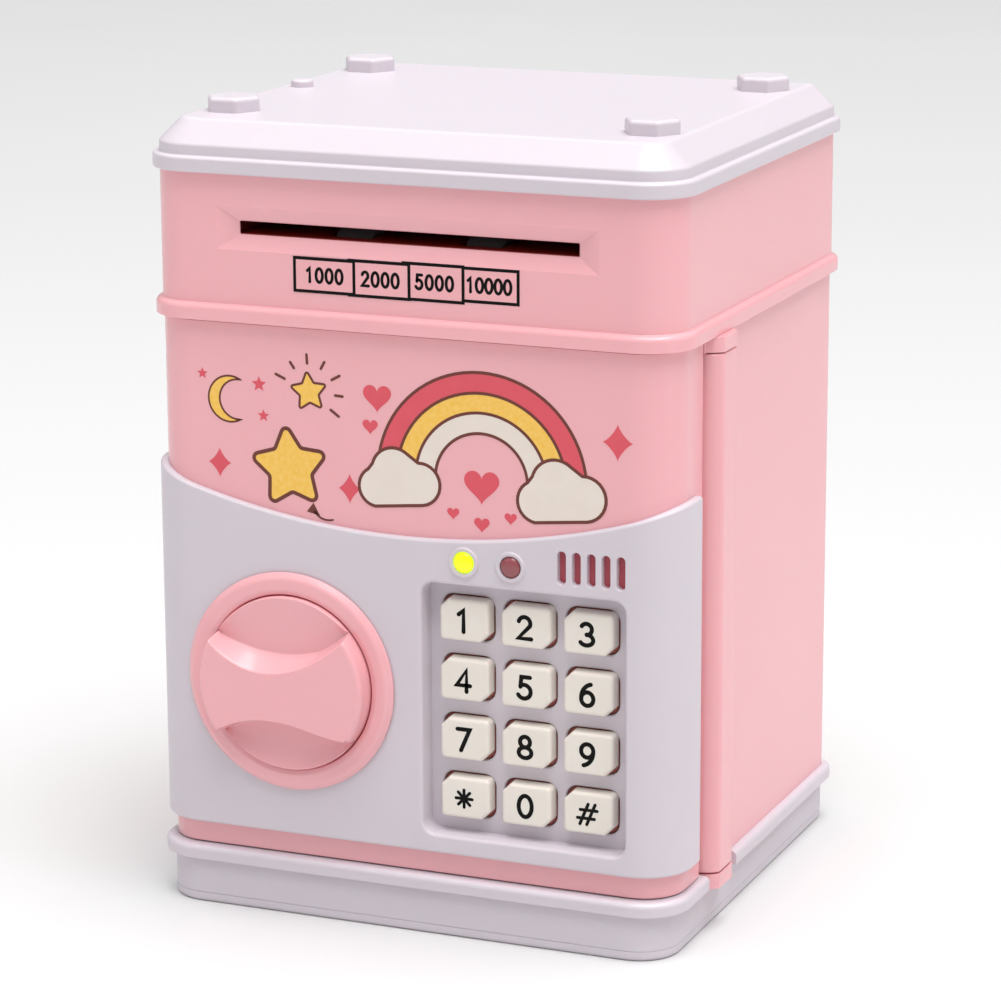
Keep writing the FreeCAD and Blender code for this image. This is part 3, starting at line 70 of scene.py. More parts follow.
def finish_of(name, colour, other, roughness, cloud_mm, grain_mm, grain_deep_mm, **surface):
    """A finish whose colour drifts between two near shades over cloud_mm, with a fine relief of
    grain_mm across and grain_deep_mm deep, and a roughness that drifts a little with the colour."""
    material = bpy.data.materials.new(name)
    material.use_nodes = True
    tree = material.node_tree
    tree.nodes.clear()
    place = add_node(tree, "ShaderNodeTexCoord")
    cloud = add_node(tree, "ShaderNodeTexNoise", {"Scale": 1 / (cloud_mm * MM), "Detail": 3.0},
                     {"Vector": (place, "Object")})
    shade = add_node(tree, "ShaderNodeMixRGB", {"Color1": linear(colour), "Color2": linear(other)},
                     {"Fac": (cloud, "Fac")})
    gloss = add_node(tree, "ShaderNodeMapRange", {"To Min": roughness - 0.05, "To Max": roughness + 0.05},
                     {"Value": (cloud, "Fac")})
    grain = add_node(tree, "ShaderNodeTexNoise", {"Scale": 1 / (grain_mm * MM), "Detail": 4.0},
                     {"Vector": (place, "Object")})
    relief = add_node(tree, "ShaderNodeBump", {"Strength": 1.0, "Distance": grain_deep_mm * MM},
                      {"Height": (grain, "Fac")})
    skin_node = add_node(tree, "ShaderNodeBsdfPrincipled", surface,
                         {"Base Color": (shade, "Color"), "Roughness": (gloss, "Result"),
                          "Normal": (relief, "Normal")})
    add_node(tree, "ShaderNodeOutputMaterial", links={"Surface": (skin_node, "BSDF")})
    return material


# White ABS from a lightly spark-eroded mould: a cool lavender white, satin, with a very fine
# grain that spreads the highlights, and a little light carried inside the plastic.
white_abs = finish_of("white_abs_satin_moulded", "D5CCD4", "D0C7CF", 0.35, 40, 0.35, 0.0035,
                      **{"IOR": 1.53, "Subsurface Weight": 0.08, "Subsurface Scale": 0.002})


def dress(names, material, edge_mm=0.0):
    """Give CAD nodes their finish. edge_mm rounds their sharp edges as a mould does."""
    for name in names:
        node = nodes[name]
        for socket in node.material_slots:
            socket.material = material
        if edge_mm:
            join = node.modifiers.new("one_skin", "WELD")
            join.merge_threshold = 0.001 * MM
            ease = node.modifiers.new("eased_edges", "BEVEL")
            ease.width = edge_mm * MM
            ease.segments = 3
            ease.limit_method = "ANGLE"
            ease.angle_limit = math.radians(38)
            even = node.modifiers.new("even_shading", "WEIGHTED_NORMAL")
            even.keep_sharp = True


dress(("base_tray", "base_plate", "battery_cover"), white_abs, 0.4)

# Zinc-plated steel screws: pale bluish grey metal with faint clouding from the plating bath.
zinc_steel = finish_of("zinc_plated_steel", "B9BEC4", "A7ADB5", 0.34, 1.2, 0.15, 0.002, Metallic=1.0)
dress(("base_screws", "battery_cover_screw", "head_screws", "cap_screws", "door_screws",
       "hinge_pins", "drive_shaft", "idler_shaft", "lock_plunger"), zinc_steel, 0.12)

# Dry cells in a printed shrink sleeve: smooth, slightly uneven dark green film.
cell_sleeve = finish_of("shrink_sleeve_film", "2F5B46", "27503D", 0.28, 9, 2.5, 0.01, IOR=1.5)
dress(("battery_cells",), cell_sleeve, 0.3)

# Contact springs and plates in nickel-plated brass: warm metal, rolled in one direction.
contact_brass = finish_of("nickel_plated_brass", "C9B98A", "BBA876", 0.30, 3, 0.2, 0.002, Metallic=1.0)
dress(("battery_contacts",), contact_brass, 0.1)


# ---------------------------------------------------------------- body, head and door shells
# The body, the head with its mid ring, the door pan and the plate behind it are pink ABS. They
# come from polished steel moulds, so they are glossier than the white parts.

# Pink ABS from a polished mould: soft rose, glossy, with a long shallow ripple in reflections.
pink_abs = finish_of("pink_abs_gloss_moulded", "F0B2B8", "EDADB3", 0.20, 55, 2.8, 0.006,
                     **{"IOR": 1.53, "Subsurface Weight": 0.12, "Subsurface Scale": 0.002})
dress(("body_shell", "head_shell", "door_panel"), pink_abs, 0.45)
dress(("door_back_cover",), pink_abs, 0.6)


# ---------------------------------------------------------------- cap
# The cap is one white ABS moulding that drops over the head: a rounded lip, a low upright wall,
# a broad sloping edge, four dummy bolt heads and a small stud. It is screwed up from inside.

def span(name):
    """The lowest and highest corners of a CAD node in millimetres."""
    low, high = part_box(name)
    return [v / MM for v in low], [v / MM for v in high]


def eased(points, steps=5, closed=False):
    """A path through (u, v, radius) points with each corner turned by an arc of its radius."""
    path = []
    count = len(points)
    for index, (u, v, radius) in enumerate(points):
        here = Vector((u, v))
        if radius <= 0 or (not closed and index in (0, count - 1)):
            path.append(here)
            continue
        before = Vector(points[index - 1][:2]) - here
        after = Vector(points[(index + 1) % count][:2]) - here
        half = before.angle(after) / 2
        reach = min(radius / math.tan(half), 0.49 * before.length, 0.49 * after.length)
        middle = here + (before.normalized() + after.normalized()).normalized() * reach / math.cos(half)
        start = here + before.normalized() * reach - middle
        end = here + after.normalized() * reach - middle
        begin = math.atan2(start.y, start.x)
        turn = (math.atan2(end.y, end.x) - begin + math.pi) % (2 * math.pi) - math.pi
        for step in range(steps + 1):
            angle = begin + turn * step / steps
            path.append(middle + start.length * Vector((math.cos(angle), math.sin(angle))))
    return path


def grown(corners, grow):
    """Move the sides of an anticlockwise convex outline of (u, v, radius) corners out by grow."""
    moved = []
    count = len(corners)
    for index, (u, v, radius) in enumerate(corners):
        here = Vector((u, v))
        into = (here - Vector(corners[index - 1][:2])).normalized()
        out = (Vector(corners[(index + 1) % count][:2]) - here).normalized()
        side_in, side_out = Vector((into.y, -into.x)), Vector((out.y, -out.x))
        corner = here + (side_in + side_out) * grow / (1 + side_in.dot(side_out))
        moved.append((corner.x, corner.y, max(radius + grow, 0.05)))
    return moved


def corners_of(u0, u1, v0, v1, low_radius, high_radius=None):
    """The corners of a rectangle, with one radius for the lower pair and one for the upper."""
    high_radius = low_radius if high_radius is None else high_radius
    return [(u0, v0, low_radius), (u1, v0, low_radius), (u1, v1, high_radius), (u0, v1, high_radius)]


def level_ring(corners, grow, level, steps=8):
    """An outline laid flat at a height."""
    return [(p.x, p.y, level) for p in eased(grown(corners, grow), steps, True)]


def front_ring(corners, grow, depth, steps=6):
    """An outline stood upright at a distance along Y."""
    return [(p.x, depth, p.y) for p in eased(grown(corners, grow), steps, True)]


def skin(name, rings, ends=True, around=False):
    """One closed mesh through rings that have the same number of points, given in millimetres."""
    work = bmesh.new()
    rows = [[work.verts.new(Vector(point) * MM) for point in ring] for ring in rings]
    size = len(rows[0])
    pairs = list(zip(rows, rows[1:])) + ([(rows[-1], rows[0])] if around else [])
    for row, other in pairs:
        for place in range(size):
            beside = (place + 1) % size
            work.faces.new((row[place], row[beside], other[beside], other[place]))
    if ends and not around:
        work.faces.new(rows[0])
        work.faces.new(rows[-1])
    bmesh.ops.remove_doubles(work, verts=work.verts, dist=0.0005 * MM)
    bmesh.ops.recalc_face_normals(work, faces=work.faces)
    mesh = bpy.data.meshes.new(name)
    work.to_mesh(mesh)
    work.free()
    piece = bpy.data.objects.new(name, mesh)
    bpy.context.scene.collection.objects.link(piece)
    return piece


def lathe(name, profile, centre, axis="y", steps=96, around=False):
    """Turn (radius, distance) points about an axis through the centre. -Y and +Z are outward."""
    rings = []
    for radius, along in profile:
        ring = []
        for step in range(steps):
            angle = 2 * math.pi * step / steps
            across, beside = radius * math.cos(angle), radius * math.sin(angle)
            if axis == "y":
                ring.append((centre[0] + across, centre[1] - along, centre[2] + beside))
            else:
                ring.append((centre[0] + across, centre[1] + beside, centre[2] + along))
        rings.append(ring)
    return skin(name, rings, around=around)


def joined(pieces):
    """Put several pieces of one moulding into the first one's mesh."""
    work = bmesh.new()
    for piece in pieces:
        work.from_mesh(piece.data)
    work.to_mesh(pieces[0].data)
    work.free()
    for piece in pieces[1:]:
        bpy.data.objects.remove(piece)
    return pieces[0]


def carved(piece, tool, operation="DIFFERENCE"):
    """Cut a tool's shape out of a piece, or fuse it on, and use the tool up."""
    step = piece.modifiers.new("carve", "BOOLEAN")
    step.object = tool
    step.operation = operation
    step.solver = "EXACT"
    bpy.context.view_layer.update()
    result = bpy.data.meshes.new_from_object(piece.evaluated_get(bpy.context.evaluated_depsgraph_get()))
    piece.modifiers.clear()
    piece.data = result
    bpy.data.objects.remove(tool)
    return piece


def settled(piece, material, body, stands_for=(), sharp=32.0):
    """Shade a finished piece, give it its material, and hang it on its body."""
    piece.data.materials.clear()
    piece.data.materials.append(material)
    piece.data.shade_smooth()
    piece.data.set_sharp_from_angle(angle=math.radians(sharp))
    even = piece.modifiers.new("even_shading", "WEIGHTED_NORMAL")
    even.keep_sharp = True
    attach(piece, body)
    if stands_for:
        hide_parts(*stands_for)
    return piece


head_low, head_high = span("head_shell")
cap_low = span("top_cap")[0]
LIP_PROUD = 1.6
CAP_LIP, CAP_WALL, CAP_SLOPE = 3.6, 2.5, 5.4
CAP_SKIN = 2.2
FRONT_CORNER, REAR_CORNER = 10.0, 6.0
BOLT_X, BOLT_Y, BOLT_TALL, BOLT_FLATS, BOLT_SOFT = 51.5, 38.0, 3.4, 11.6, 1.2
STUD_X, STUD_Y, STUD_RADIUS, STUD_TALL = -54.0, 4.0, 2.7, 1.8
POST_X, POST_Y, POST_RADIUS = 56.0, (-49.7, 35.7), 3.4
seat = head_high[2]
cap_top = seat + CAP_LIP + CAP_WALL + CAP_SLOPE
head_outline = corners_of(head_low[0] + LIP_PROUD, head_high[0] - LIP_PROUD,
                          head_low[1] + LIP_PROUD, head_high[1] - LIP_PROUD,
                          FRONT_CORNER, REAR_CORNER)
cap_profile = eased([
    (-CAP_SKIN, seat, 0.0), (LIP_PROUD, seat, 0.5), (LIP_PROUD, seat + CAP_LIP, 1.5),
    (0.1, seat + CAP_LIP, 0.35), (0.0, seat + CAP_LIP + CAP_WALL, 1.0), (-CAP_SLOPE, cap_top, 1.9),
    (-CAP_SLOPE - 4.0, cap_top, 0.0)], 6)
cap_inside = [(-CAP_SKIN, seat - 1), (-CAP_SKIN, cap_top - CAP_SKIN - 4.2),
              (-CAP_SLOPE - 1.2, cap_top - CAP_SKIN), (-CAP_SLOPE - 5.0, cap_top - CAP_SKIN)]
cap = skin("cap", [level_ring(head_outline, grow, level, 10) for grow, level in cap_profile])
carved(cap, skin("cap_room", [level_ring(head_outline, grow, level, 10) for grow, level in cap_inside]))
for right in (-1, 1):
    for back in (-1, 1):
        corner = BOLT_FLATS / 2 / math.cos(math.radians(30))
        hexagon = [(right * BOLT_X + corner * math.cos(math.radians(60 * k)),
                    back * BOLT_Y + corner * math.sin(math.radians(60 * k)), BOLT_SOFT) for k in range(6)]
        bolt_top = cap_top + BOLT_TALL
        rise = eased([(0.0, cap_top - 0.4, 0), (0.0, bolt_top, 1.0), (-3, bolt_top, 0)], 5)
        head = skin("bolt_head", [level_ring(hexagon, grow, level, 4) for grow, level in rise])
        carved(cap, head, "UNION")
stud_rise = eased([(STUD_RADIUS, -0.4, 0), (STUD_RADIUS, STUD_TALL, 0.8), (0.3, STUD_TALL, 0)], 5)
carved(cap, lathe("stud", stud_rise, (STUD_X, STUD_Y, cap_top), "z", 40), "UNION")
posts = [lathe("post", [(POST_RADIUS, cap_low[2]), (POST_RADIUS, cap_top - CAP_SKIN + 0.3)],
               (right * POST_X, y, 0.0), "z", 32) for right in (-1, 1) for y in POST_Y]
cap = joined([cap] + posts)
settled(cap, white_abs, "safe_body", ("top_cap",))


# ---------------------------------------------------------------- banknote feeder
# Behind the slot an ABS guide holds two steel shafts with rubber rollers; its dark red is painted
# shade of the slot's inside. A small motor drives one of them through acetal gears, and a board
# beside it watches for a note. The door's own boards, lock and speaker have the same finishes, so
# they are dressed here too.

# Textured-mould ABS in deep red: painted shade, the dark red stands for the shaded inside of the slot.
slot_shade_abs = finish_of("textured_abs_painted_slot_shade", "A32A1E", "7C1C14", 0.45, 20, 0.5, 0.02, IOR=1.53)
dress(("bill_guide", "bill_guide_roof"), slot_shade_abs, 0.25)
# Plain black ABS of the two loops that guide the bolt.
bolt_black = finish_of("black_abs_plain", "232326", "1C1C1F", 0.42, 20, 0.5, 0.015, IOR=1.53)
dress(("bolt_guides",), bolt_black, 0.25)
# Grey rubber rollers ground to size: matt, with fine grinding marks.
grey_rubber = finish_of("ground_grey_rubber", "6E6A6C", "625E60", 0.75, 4, 0.3, 0.03, IOR=1.5)
dress(("drive_rollers", "idler_rollers"), grey_rubber, 0.4)
# Natural acetal gears, moulded: milky white, slightly waxy.
acetal = finish_of("natural_acetal_moulded", "EEEDE6", "E7E5DC", 0.35, 12, 0.6, 0.004,
                   **{"IOR": 1.48, "Subsurface Weight": 0.2, "Subsurface Scale": 0.0015})
dress(("drive_gear", "motor_pinion", "knob_pinion", "lock_bolt"), acetal, 0.12)
# Deep-drawn steel cans of the motor, solenoid and speaker: bright grey with drawing streaks.
drawn_steel = finish_of("drawn_steel_can", "A9ABAE", "97999D", 0.30, 2.5, 0.25, 0.003, Metallic=1.0)
dress(("feed_motor", "lock_solenoid", "speaker"), drawn_steel, 0.3)
# Circuit boards under green solder mask: woven glass shows as a faint regular relief.
solder_mask = finish_of("green_solder_mask", "1F6B45", "1A5E3C", 0.38, 6, 0.4, 0.01, IOR=1.55)
dress(("sensor_board", "control_board", "keypad_board"), solder_mask, 0.15)
# Silicone membrane of the keypad: matt pale grey.
silicone = finish_of("grey_silicone_sheet", "BDBBBE", "B3B1B5", 0.6, 7, 0.5, 0.01, IOR=1.43)
dress(("keypad_membrane",), silicone, 0.2)


# ---------------------------------------------------------------- door fascia with keypad recess
# A white ABS moulding snapped over the front of the door: a thin sheet that wraps both sides, with
# a hollow upper edge, a deep recess for the keys, five speaker slits and two raised light rings.

fascia_low, fascia_high = span("door_fascia")
door_low = span("door_panel")[0]
FASCIA_THICK, FASCIA_ROUND, FASCIA_CORNER = 1.85, 0.8, 11.85
ARC_RADIUS, ARC_DIP, FRONT_STEPS, CORNER_STEPS = 190.0, 74.4, 48, 16
LIGHT_RING_TALL = 0.6
face = fascia_low[1] + LIGHT_RING_TALL
arc_centre = fascia_low[2] + ARC_DIP + ARC_RADIUS
side_x = fascia_high[0]


def arc_height(x):
    """Height of the hollow upper edge."""
    return arc_centre - math.sqrt(ARC_RADIUS ** 2 - x * x)


plan = [(-side_x, fascia_high[1]), (-side_x, face + FASCIA_CORNER + 2.5)]
for step in range(CORNER_STEPS + 1):
    angle = math.radians(180 + 90 * step / CORNER_STEPS)
    plan.append((-side_x + FASCIA_CORNER + FASCIA_CORNER * math.cos(angle),
                 face + FASCIA_CORNER + FASCIA_CORNER * math.sin(angle)))
front_half = side_x - FASCIA_CORNER
plan += [(-front_half + 2 * front_half * step / FRONT_STEPS, face) for step in range(1, FRONT_STEPS)]
plan += [(-x, y) for x, y in reversed(plan[:CORNER_STEPS + 3])]
fascia_rings = []
for index, (x, y) in enumerate(plan):
    ahead = Vector(plan[min(index + 1, len(plan) - 1)]) - Vector(plan[max(index - 1, 0)])
    inward = Vector((-ahead.y, ahead.x)).normalized()
    high = arc_height(x)
    section = eased([(0.0, fascia_low[2], FASCIA_ROUND), (0.0, high, FASCIA_ROUND),
                     (FASCIA_THICK, high, 0.2), (FASCIA_THICK, fascia_low[2], 0.2)], 5, True)
    fascia_rings.append([(x + inward.x * p.x, y + inward.y * p.x, p.y) for p in section])
fascia = skin("fascia", fascia_rings)

PAD_LEFT, PAD_WIDE, PAD_TALL, PAD_UP, PAD_DEEP, PAD_WALL = 4.15, 49.6, 60.0, 4.5, 5.2, 1.5
pad_low = fascia_low[2] + PAD_UP
pad = corners_of(PAD_LEFT, PAD_LEFT + PAD_WIDE, pad_low, pad_low + PAD_TALL, 3.0)
pan = corners_of(PAD_LEFT - PAD_WALL, PAD_LEFT + PAD_WIDE + PAD_WALL, pad_low - PAD_WALL,
                 pad_low + PAD_TALL + PAD_WALL, 3.0)
pan_ends = (face + 1.2, face + PAD_DEEP + PAD_WALL)
carved(fascia, skin("pan", [front_ring(pan, 0, y) for y in pan_ends]), "UNION")


def mouth_plug(name, corners, floor, soft, steps=6):
    """A cutter for an opening whose edge at the fascia's face is rounded by soft."""
    side = eased([(-0.25, floor, 0.0), (0.0, face, soft), (soft * 1.6, face - 0.02, 0.0)], 6)
    rings = [front_ring(corners, p.x, p.y, steps) for p in side]
    return skin(name, rings + [front_ring(corners, soft * 1.6, face - 3.0, steps)])


carved(fascia, mouth_plug("recess", pad, face + PAD_DEEP, 1.1))
KEY_WIDE, KEY_TALL, KEY_STEP_X, KEY_STEP_Z, KEY_GAP = 12.3, 10.0, 15.15, 14.1, 0.32
KEY_NAMES = ("1", "2", "3", "4", "5", "6", "7", "8", "9", "star", "0", "hash")
key_places = [(PAD_LEFT + PAD_WIDE / 2 + across * KEY_STEP_X, pad_low + PAD_TALL / 2 + up * KEY_STEP_Z)
              for up in (1.5, 0.5, -0.5, -1.5) for across in (-1, 0, 1)]
for x, z in key_places:
    opening = corners_of(x - KEY_WIDE / 2 - KEY_GAP, x + KEY_WIDE / 2 + KEY_GAP,
                         z - KEY_TALL / 2 - KEY_GAP, z + KEY_TALL / 2 + KEY_GAP, 2.7)
    floor = face + PAD_DEEP
    flare = [(0.0, floor + PAD_WALL + 1), (0.0, floor + 0.3), (0.3, floor - 0.01), (0.3, floor - 1)]
    carved(fascia, skin("key_opening", [front_ring(opening, grow, y) for grow, y in flare]))

SLIT_WIDE, SLIT_TALL, SLIT_LEFT, SLIT_STEP = 2.1, 7.7, 38.5, 3.54
LIGHT_X, LIGHT_STEP, LENS_RADIUS = 14.9, 11.4, 2.5
SLIT_UP, LIGHT_UP = 70.95, 70.0
slit_z = fascia_low[2] + SLIT_UP
light_z = fascia_low[2] + LIGHT_UP
for index in range(5):
    middle = SLIT_LEFT + index * SLIT_STEP
    slit = corners_of(middle - SLIT_WIDE / 2, middle + SLIT_WIDE / 2, slit_z - SLIT_TALL / 2,
                      slit_z + SLIT_TALL / 2, SLIT_WIDE / 2 - 0.01)
    carved(fascia, mouth_plug("slit", slit, face + 3.0, 0.3))
for index in range(2):
    centre = (LIGHT_X + index * LIGHT_STEP, face, light_z)
    boss = eased([(3.9, -0.5, 0), (3.9, 0.0, 0.3), (3.5, 0.05, 0.1), (3.5, 0.6, 0.5), (0.4, 0.6, 0)], 5)
    carved(fascia, lathe("light_ring", boss, centre, steps=64), "UNION")
    hole = [(LENS_RADIUS + 0.05, -3.0), (LENS_RADIUS + 0.05, 0.3), (LENS_RADIUS + 0.45, 0.62),
            (LENS_RADIUS + 0.8, 1.5)]
    carved(fascia, lathe("light_hole", hole, centre, steps=64))
KNOB_X, KNOB_UP = -28.7, 37.4
KNOB_Z = fascia_low[2] + KNOB_UP
carved(fascia, lathe("shaft_hole", [(6.0, -3.0), (6.0, 1.0)], (KNOB_X, face, KNOB_Z), steps=48))
settled(fascia, white_abs, "door", ("door_fascia",), 40)

# A dark rose sheet behind the slits: painted shade, standing for the shaded pink inside them. Matt, with a
# fine fibre.
painted_slit_shade = finish_of("painted_slit_shade", "B8545F", "A84551", 0.85, 1.2, 0.12, 0.05,
                      **{"IOR": 1.5, "Sheen Weight": 0.3})
slit_shade_outline = corners_of(SLIT_LEFT - 2.5, SLIT_LEFT + 4 * SLIT_STEP + 2.5, slit_z - 5.5, slit_z + 5.5, 1.5)
slit_shade_ends = (face + FASCIA_THICK - 0.3, face + FASCIA_THICK - 0.02)
slit_shade = skin("slit_shade_sheet", [front_ring(slit_shade_outline, 0, y) for y in slit_shade_ends])
settled(slit_shade, painted_slit_shade, "door", ())


# ---------------------------------------------------------------- indicator lights
# Two moulded lenses pressed into the fascia's rings. The green one is lit and the red one isn't.

def lens_of(name, node, material, x):
    """A domed lens in a light ring."""
    dome = eased([(0.01, 1.0, 0), (LENS_RADIUS - 0.8, 0.85, 1.5), (LENS_RADIUS, 0.1, 0.6),
                  (LENS_RADIUS, -6.0, 0)], 6)
    piece = lathe(name, [tuple(p) for p in dome], (x, face, light_z), steps=48)
    settled(piece, material, "door", (node,))


# Clear tinted polycarbonate: very smooth, and the lit one glows evenly from inside.
lit_lens = finish_of("lit_green_lens_polycarbonate", "C8F000", "BCE400", 0.12, 3, 0.6, 0.004,
                     **{"IOR": 1.58, "Emission Color": linear("DCFE02"), "Emission Strength": 0.7})
unlit_lens = finish_of("unlit_red_lens_polycarbonate", "9A5257", "8A444B", 0.10, 3, 0.6, 0.004, IOR=1.58)
lens_of("light_green", "led_green", lit_lens, LIGHT_X)
lens_of("light_red", "led_red", unlit_lens, LIGHT_X + LIGHT_STEP)


# ---------------------------------------------------------------- keys
# Twelve cream ABS keycaps with two corners cut off. Each has a flange behind the recess floor, and
# its figure is pad-printed in black, a little left of and below its middle.

def arc(cx, cy, rx, ry, start, end, steps=16):
    """Points round part of an ellipse, in degrees."""
    turn = [math.radians(start + (end - start) * step / steps) for step in range(steps + 1)]
    return [(cx + rx * math.cos(a), cy + ry * math.sin(a)) for a in turn]


def flipped(lines):
    """A figure turned upside down."""
    return [[(FIGURE_WIDE - u, FIGURE_TALL - v) for u, v in line] for line in lines]


FIGURE_WIDE, FIGURE_TALL = 4.0, 5.6
FIGURE_SQUEEZE, FIGURE_SHRINK, FIGURE_INK, SIGN_INK = 0.84, 0.90, 1.0, 0.74
FIGURES = {
    "1": [[(0.8, 4.5), (2.2, 5.6), (2.2, 0.0)]],
    "2": [arc(1.95, 4.0, 1.7, 1.6, 165, -25) + [(0.15, 0.0), (3.9, 0.0)]],
    "3": [arc(1.75, 4.15, 1.55, 1.45, 150, -88), arc(1.75, 1.4, 1.95, 1.4, 88, -150)],
    "4": [[(2.95, 0.0), (2.95, 5.6), (0.05, 1.6), (4.0, 1.6)]],
    "5": [[(3.5, 5.6), (1.0, 5.6), (0.72, 3.0)], arc(1.75, 1.8, 1.95, 1.8, 122, -150)],
    "6": [arc(2.0, 1.75, 1.75, 1.75, 0, 360, 28), arc(3.6, 1.9, 3.35, 3.75, 100, 176, 12)],
    "7": [[(0.2, 5.6), (3.8, 5.6), (1.2, 0.0)]],
    "8": [arc(2.0, 4.2, 1.45, 1.4, 0, 360, 28), arc(2.0, 1.4, 1.85, 1.4, 0, 360, 28)],
    "0": [arc(2.0, 2.8, 1.9, 2.8, 0, 360, 32)],
    "star": [[(2 + way * 2.4 * math.cos(a), 2.8 + way * 2.3 * math.sin(a)) for way in (1, -1)]
             for a in (0, math.pi / 4, math.pi / 2, 3 * math.pi / 4)],
    "hash": [[(-0.1, 0.1), (2.3, 5.5)], [(1.9, 0.1), (4.3, 5.5)], [(0.0, 3.9), (4.9, 3.9)],
             [(-0.8, 1.7), (4.1, 1.7)]],
}
FIGURES["9"] = flipped(FIGURES["6"])


def stroke(name, line, wide, plane, proud):
    """A printed line of the given width, as a thin solid with round ends on a plane facing -Y."""
    points = [Vector(p) for p in line]
    closed = (points[0] - points[-1]).length < 0.01
    if closed:
        points = points[:-1]
    stations = []
    for index, here in enumerate(points):
        before = points[index - 1] if closed or index else None
        after = points[(index + 1) % len(points)] if closed or index < len(points) - 1 else None
        into = (here - before).normalized() if before is not None else (after - here).normalized()
        out = (after - here).normalized() if after is not None else into
        along = (into + out).normalized()
        reach = wide / 2 / max(math.sqrt((1 + into.dot(out)) / 2), 0.55)
        stations.append((here, Vector((-along.y, along.x)), along, reach))
    rings = []

    def lay(middle, across, half):
        """One cross-section of the printed line."""
        left, right = middle + across * half, middle - across * half
        rings.append([(left.x, plane - proud, left.y), (right.x, plane - proud, right.y),
                      (right.x, plane + 0.03, right.y), (left.x, plane + 0.03, left.y)])

    caps = (80, 55, 30)     # degrees along each round end
    if not closed:
        here, across, along, reach = stations[0]
        for turn in caps:
            a = math.radians(turn)
            lay(here - along * wide / 2 * math.sin(a), across, wide / 2 * math.cos(a))
    for here, across, along, reach in stations:
        lay(here, across, reach)
    if not closed:
        here, across, along, reach = stations[-1]
        for turn in reversed(caps):
            a = math.radians(turn)
            lay(here + along * wide / 2 * math.sin(a), across, wide / 2 * math.cos(a))
    return skin(name, rings, ends=not closed, around=closed)


# Cream ABS, satin: warm and a little translucent. The ink is a thin matt black film.
key_abs = finish_of("cream_abs_satin_moulded", "EBE4DB", "E6DED4", 0.32, 14, 0.35, 0.003,
                    **{"IOR": 1.53, "Subsurface Weight": 0.1, "Subsurface Scale": 0.0015})
black_ink = finish_of("black_pad_printed_ink", "0C0A08", "080705", 0.65, 2.0, 0.2, 0.003, IOR=1.25)
KEY_CUT, KEY_SUNK = 2.15, 2.2
SKIRT_SUNK, SKIRT_GAP = 0.4, 0.12
# Red-brown skirt behind each key that shows at the cut corners: its colour is painted shade of the dim gap
# there.
painted_red_shade = finish_of("painted_corner_shade_red_brown", "8E4A42", "824038", 0.6, 5, 0.4, 0.004, IOR=1.43)
for name, (x, z) in zip(KEY_NAMES, key_places):
    node = "key_" + name
    low, high = span(node)
    left, right, down, up = x - KEY_WIDE / 2, x + KEY_WIDE / 2, z - KEY_TALL / 2, z + KEY_TALL / 2
    shape = [(left, down, 1.2), (right - KEY_CUT, down, 0.9), (right, down + KEY_CUT, 0.9),
             (right, up, 1.2), (left + KEY_CUT, up, 0.9), (left, up - KEY_CUT, 0.9)]
    top = face + KEY_SUNK
    rise = eased([(0.6, high[1], 0), (0.6, high[1] - 0.8, 0), (0.0, high[1] - 0.8, 0), (-0.15, top, 0.9),
                  (-1.9, top, 0)], 6)
    cap_mesh = skin(node + "_cap", [front_ring(shape, p.x, p.y, 5) for p in rise])
    settled(cap_mesh, key_abs, node, (node,))
    skirt_shape = corners_of(left - SKIRT_GAP, right + SKIRT_GAP, down - SKIRT_GAP, up + SKIRT_GAP, 2.5)
    skirt_front = face + PAD_DEEP + SKIRT_SUNK
    skirt = skin(node + "_skirt", [front_ring(skirt_shape, grow, y) for grow, y in
                                   ((0, skirt_front + 1.2), (0, skirt_front + 0.2), (-0.2, skirt_front))])
    settled(skirt, painted_red_shade, node, ())
    figure = []
    for count, line in enumerate(FIGURES[name]):
        placed = [(x - 0.2 + (u - FIGURE_WIDE / 2) * FIGURE_SQUEEZE,
                   z - 0.1 + (v - FIGURE_TALL / 2) * FIGURE_SHRINK) for u, v in line]
        wide = SIGN_INK if name in ("star", "hash") else FIGURE_INK
        figure.append(stroke(node + "_figure", placed, wide, top, 0.03 + 0.004 * count))
    ink = joined(figure)
    ink.name = node + "_figure"
    settled(ink, black_ink, node, ())


# ---------------------------------------------------------------- knob ring and knob
# The ring is a pink ABS collar glued to the fascia. The knob turns inside it: a flat-topped bar
# right across, with a slope down to the upper hollow, a steep step down to the lower one, and a
# thin rim round both.

RING_OUT, RING_IN, RING_PROUD = 26.1, 21.0, 1.9
ring_section = eased([(RING_OUT - 0.45, -0.02, 0), (RING_OUT - 0.45, 0.16, 0), (RING_OUT, 0.16, 0.1),
                      (RING_OUT, 0.75, 0.5), (RING_OUT - 1.3, RING_PROUD, 1.6),
                      (RING_IN + 1.2, RING_PROUD, 2.0), (RING_IN, RING_PROUD - 0.35, 0.5),
                      (RING_IN, 0.28, 0), (RING_IN - 2.0, 0.28, 0), (RING_IN - 2.0, -0.02, 0)], 8, True)
knob_axis = (KNOB_X, face, KNOB_Z)
ring = lathe("knob_collar", [tuple(p) for p in ring_section], knob_axis, steps=144, around=True)
settled(ring, pink_abs, "door", ("knob_ring",), 50)

# A thin red ring sits in the gap between the collar and the knob: painted shade, standing for the dark red
# of the shaded gap.
gap_red_shade = finish_of("painted_gap_red_shade", "C23A42", "B4323A", 0.5, 5, 0.4, 0.003, IOR=1.43)
gap_shade_ring = lathe("knob_gap_shade", [(RING_IN + 0.02, 0.26), (RING_IN + 0.02, 1.15), (RING_IN - 0.18, 1.15),
                           (RING_IN - 0.18, 0.26)], knob_axis, steps=144, around=True)
settled(gap_shade_ring, gap_red_shade, "door", ())

KNOB_RADIUS, KNOB_TALL, RIM_TALL, FLOOR_TALL = 20.7, 6.9, 2.9, 1.6


